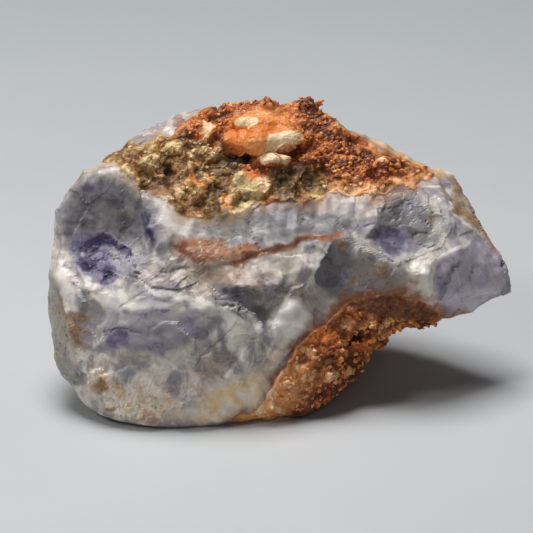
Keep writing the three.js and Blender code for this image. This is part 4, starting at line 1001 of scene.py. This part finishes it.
def make_stone_material():
    material = bpy.data.materials.new("milky opal with an iron rind")
    paint = Wires(material)
    fine = paint.noise(0.7, 4.0, 0.6, seed=3)
    medium = paint.noise(2.4, 5.0, 0.6, 0.6, seed=4)
    fringe = paint.math("MULTIPLY", paint.math("SUBTRACT", fine, 0.5), 0.5)
    rind = paint.between(paint.math("ADD", paint.mask("rind"), fringe), 0.3, 0.7)
    opal = stained(paint, opal_colour(paint, fine, medium), fine, medium)
    shader = paint.shader.inputs
    paint.put(shader["Base Color"], paint.mix(rind, opal, rind_colour(paint, fine, medium)))
    glassy = paint.between(medium, 0.3, 0.7, 0.45, 0.75)
    earthy = paint.between(fine, 0.3, 0.7, 0.4, 0.75)
    paint.put(shader["Roughness"], paint.blend(rind, glassy, earthy))
    paint.put(shader["Subsurface Weight"], paint.blend(rind, GLOW["opal"], GLOW["rind"]))
    shader["Subsurface Radius"].default_value = GLOW_TINT
    shader["Subsurface Scale"].default_value = GLOW_REACH
    wet = paint.between(paint.noise(5.0, 4.0, 0.6, seed=12), 0.4, 0.62, 0.08, 0.4)
    paint.put(shader["Coat Weight"], paint.blend(rind, wet, RIND_WETNESS))
    shader["Coat Roughness"].default_value = 0.1
    shader["IOR"].default_value = 1.42
    bump = surface_bump(paint, rind, fine)
    paint.put(shader["Normal"], bump)
    paint.put(shader["Coat Normal"], bump)
    return material


stone_finish = make_stone_material()
stone.data.materials.append(stone_finish)
print("the stone's material has", len(stone_finish.node_tree.nodes), "nodes")

# %% [markdown]
# ## The rind's crystals
#
# Between the crumbs sit more than a thousand small crystals, each with its own facets and its own shade.
# They are the same thing again and again, so Geometry Nodes scatters them: points on the rind, a small
# five-sided block that tapers on each point, turned and stretched at random. The points carry the stone's
# masks along, so each crystal takes its colour from where it sits. Only its tone is its own. At the end
# the copies become one plain mesh.

# %% The tree that scatters crystals
GRAIN_INPUTS = {"Per square millimetre": 1.1, "Smallest": 0.14 * MM, "Largest": 0.40 * MM, "Seed": 7}
CRYSTAL = {"Vertices": 5, "Radius Top": 0.55, "Radius Bottom": 1.0, "Depth": 1.4}
STRETCH = ((0.7, 0.7, 0.8), (1.15, 1.15, 1.3))  # the least and the most along each side
ANY_TURN = ((0, 0, 0), (6.28, 6.28, 6.28))
CRYSTAL_TONES = (-0.7, 0.5)
CRYSTAL_LIGHT_AND_SHADE = 0.52  # a crystal gets the painted light of the middle of a crumb's flank


def grain_tree():
    """Points where the mesh is grainy, and a crystal with its own turn, size and tone on each."""
    tree = bpy.data.node_groups.new("scattered crystals", "GeometryNodeTree")
    face = tree.interface
    face.new_socket("Geometry", in_out="INPUT", socket_type="NodeSocketGeometry")
    for name in ("Per square millimetre", "Smallest", "Largest"):
        face.new_socket(name, in_out="INPUT", socket_type="NodeSocketFloat")
    face.new_socket("Seed", in_out="INPUT", socket_type="NodeSocketInt")
    face.new_socket("Material", in_out="INPUT", socket_type="NodeSocketMaterial")
    face.new_socket("Geometry", in_out="OUTPUT", socket_type="NodeSocketGeometry")

    def add(kind, links=(), **settings):
        node = tree.nodes.new(kind)
        for name, value in settings.items():
            setattr(node, name, value)
        for place, value in links:
            if isinstance(value, bpy.types.NodeSocket):
                tree.links.new(value, node.inputs[place])
            else:
                node.inputs[place].default_value = value
        return node

    def any_vector(low, high):
        links = [(0, low), (1, high), ("Seed", given["Seed"])]
        return add("FunctionNodeRandomValue", links, data_type="FLOAT_VECTOR").outputs[0]

    def any_number(low, high):
        links = [(2, low), (3, high), ("Seed", given["Seed"])]
        return add("FunctionNodeRandomValue", links, data_type="FLOAT").outputs[1]

    def times(first, second):
        return add("ShaderNodeMath", [(0, first), (1, second)], operation="MULTIPLY").outputs[0]

    def store_number(geometry, name, value):
        links = [("Geometry", geometry), ("Name", name), ("Value", value)]
        node = add("GeometryNodeStoreNamedAttribute", links, data_type="FLOAT", domain="INSTANCE")
        return node.outputs[0]

    given = add("NodeGroupInput").outputs
    grainy = add("GeometryNodeInputNamedAttribute", [("Name", "grainy")], data_type="FLOAT")
    per_square_metre = times(given["Per square millimetre"], 1 / MM**2)
    density = times(grainy.outputs["Attribute"], per_square_metre)
    points = add("GeometryNodeDistributePointsOnFaces", [
        ("Mesh", given["Geometry"]), ("Density", density), ("Seed", given["Seed"])])
    crystal = add("GeometryNodeMeshCone", CRYSTAL.items(), fill_type="TRIANGLE_FAN")
    flat = add("GeometryNodeSetShadeSmooth", [
        ("Geometry", crystal.outputs["Mesh"]), ("Shade Smooth", False)])
    size = any_number(given["Smallest"], given["Largest"])
    scale = add("ShaderNodeVectorMath", [(0, any_vector(*STRETCH)), ("Scale", size)], operation="SCALE")
    placed = add("GeometryNodeInstanceOnPoints", [
        ("Points", points.outputs["Points"]), ("Instance", flat.outputs[0]),
        ("Rotation", any_vector(*ANY_TURN)), ("Scale", scale.outputs[0])])
    toned = store_number(placed.outputs[0], "tone", any_number(*CRYSTAL_TONES))
    # each crystal gets the painted light and shade of a crumb's flank
    lit = store_number(toned, "crest_light_crease_shade", CRYSTAL_LIGHT_AND_SHADE)
    real = add("GeometryNodeRealizeInstances", [("Geometry", lit)])
    dressed = add("GeometryNodeSetMaterial", [
        ("Geometry", real.outputs[0]), ("Material", given["Material"])])
    add("NodeGroupOutput", [(0, dressed.outputs[0])])
    return tree


# %% Scatter the crystals
def scatter_crystals(ground, inputs, material):
    piece = bpy.data.objects.new("rind_crystals", ground.data.copy())
    bpy.context.scene.collection.objects.link(piece)
    scatter = piece.modifiers.new("crystals", "NODES")
    scatter.node_group = grain_tree()
    sockets = {item.name: item.identifier for item in scatter.node_group.interface.items_tree
               if item.in_out == "INPUT"}
    for name, value in inputs.items():
        scatter[sockets[name]] = value
    scatter[sockets["Material"]] = material
    plain_mesh(piece)
    return piece


crystals = scatter_crystals(stone, GRAIN_INPUTS, stone_finish)
print("the crystals have", len(crystals.data.polygons), "faces")
print("and carry", len(crystals.data.attributes), "attributes")

# %% [markdown]
# ## Floor and light
#
# The stone stands on a plain pale floor that curves up behind it, in soft light from above and a little
# from the left and behind, so that the top of the rind is bright and the front is lit by what the floor
# throws back. The floor's colour is painted darker towards the back, as painted shade.

# %% The floor
FLOOR_HALF = 900 * MM
BEND = 300 * MM  # radius of the curve behind
BEND_STEPS = 16
FLOOR_TONES = ((0.53, 0.54, 0.55), (0.55, 0.56, 0.57))
SHADED_BACKDROP_TONE = (0.425, 0.455, 0.475)
TURNS_DARKER = (-20 * MM, 260 * MM)  # from here to there behind the stone the floor is painted darker, as painted shade


def make_floor():
    """A floor that runs back, curves up and becomes the backdrop, painted darker towards the back as shade.
    """
    profile = [(-FLOOR_HALF, 0.0), (FLOOR_HALF, 0.0)]
    for i in range(1, BEND_STEPS + 1):
        angle = math.pi / 2 * i / BEND_STEPS
        profile.append((FLOOR_HALF + BEND * math.sin(angle), BEND * (1 - math.cos(angle))))
    profile.append((FLOOR_HALF + BEND, 2 * FLOOR_HALF))
    points = [(side * 2 * FLOOR_HALF, y, z) for y, z in profile for side in (-1, 1)]
    faces = [(2 * i, 2 * i + 1, 2 * i + 3, 2 * i + 2) for i in range(len(profile) - 1)]
    mesh = bpy.data.meshes.new("floor")
    mesh.from_pydata(points, [], faces)
    mesh.shade_smooth()
    floor = bpy.data.objects.new("floor", mesh)
    bpy.context.scene.collection.objects.link(floor)
    material = bpy.data.materials.new("pale floor")
    paint = Wires(material)
    near = paint.mix(paint.between(paint.noise(60, 3.0, 0.5), 0.35, 0.65), *FLOOR_TONES)
    shade_far_back = paint.between(paint.split(paint.place)[1], *TURNS_DARKER)
    paint.put(paint.shader.inputs["Base Color"], paint.mix(shade_far_back, near, SHADED_BACKDROP_TONE))
    paint.shader.inputs["Roughness"].default_value = 0.45
    mesh.materials.append(material)
    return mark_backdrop(floor)


make_floor()

# %% The light
# Each lamp is a square: its place and its side in millimetres, its power in watts, and its tint.
LAMPS = {
    "overhead": ((-90, 140, 620), 320, 4.6, (1, 1, 1)),
    "key": ((-330, -180, 330), 90, 0.44, (1.0, 0.99, 0.97)),
    "front fill": ((60, -640, 300), 420, 0.40, (0.98, 0.99, 1.0)),
}
AIM = Vector((0, 0, 18 * MM))  # what the lamps face
SKY = (0.82, 0.87, 0.92, 1)
SKY_STRENGTH = 0.03


def add_lamp(name, place, side, power, tint):
    lamp = bpy.data.lights.new(name, "AREA")
    lamp.size = side * MM
    lamp.energy = power
    lamp.color = tint
    holder = bpy.data.objects.new(name, lamp)
    holder.location = Vector(place) * MM
    holder.rotation_euler = (AIM - holder.location).to_track_quat("-Z", "Y").to_euler()
    bpy.context.scene.collection.objects.link(holder)


def make_sky():
    world = bpy.data.worlds.new("studio")
    world.use_nodes = True
    background = world.node_tree.nodes["Background"]
    background.inputs["Color"].default_value = SKY
    background.inputs["Strength"].default_value = SKY_STRENGTH
    bpy.context.scene.world = world
    bpy.context.scene.view_settings.view_transform = "Standard"


for name, lamp in LAMPS.items():
    add_lamp(name, *lamp)
make_sky()
print(len(LAMPS), "lamps face the stone")

# %% [markdown]
# ## Riding on the body
#
# The stone and its crystals ride on the one body that there is, and take the place of the solid they were
# copied from, which is hidden. The number of triangles of each is printed.

# %% Rides, triangles and the end
for piece in (stone, crystals):
    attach(piece, "root")
    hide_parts("opal")
    triangles = sum(len(face.vertices) - 2 for face in piece.data.polygons)
    print(piece.name, "has", triangles, "triangles")
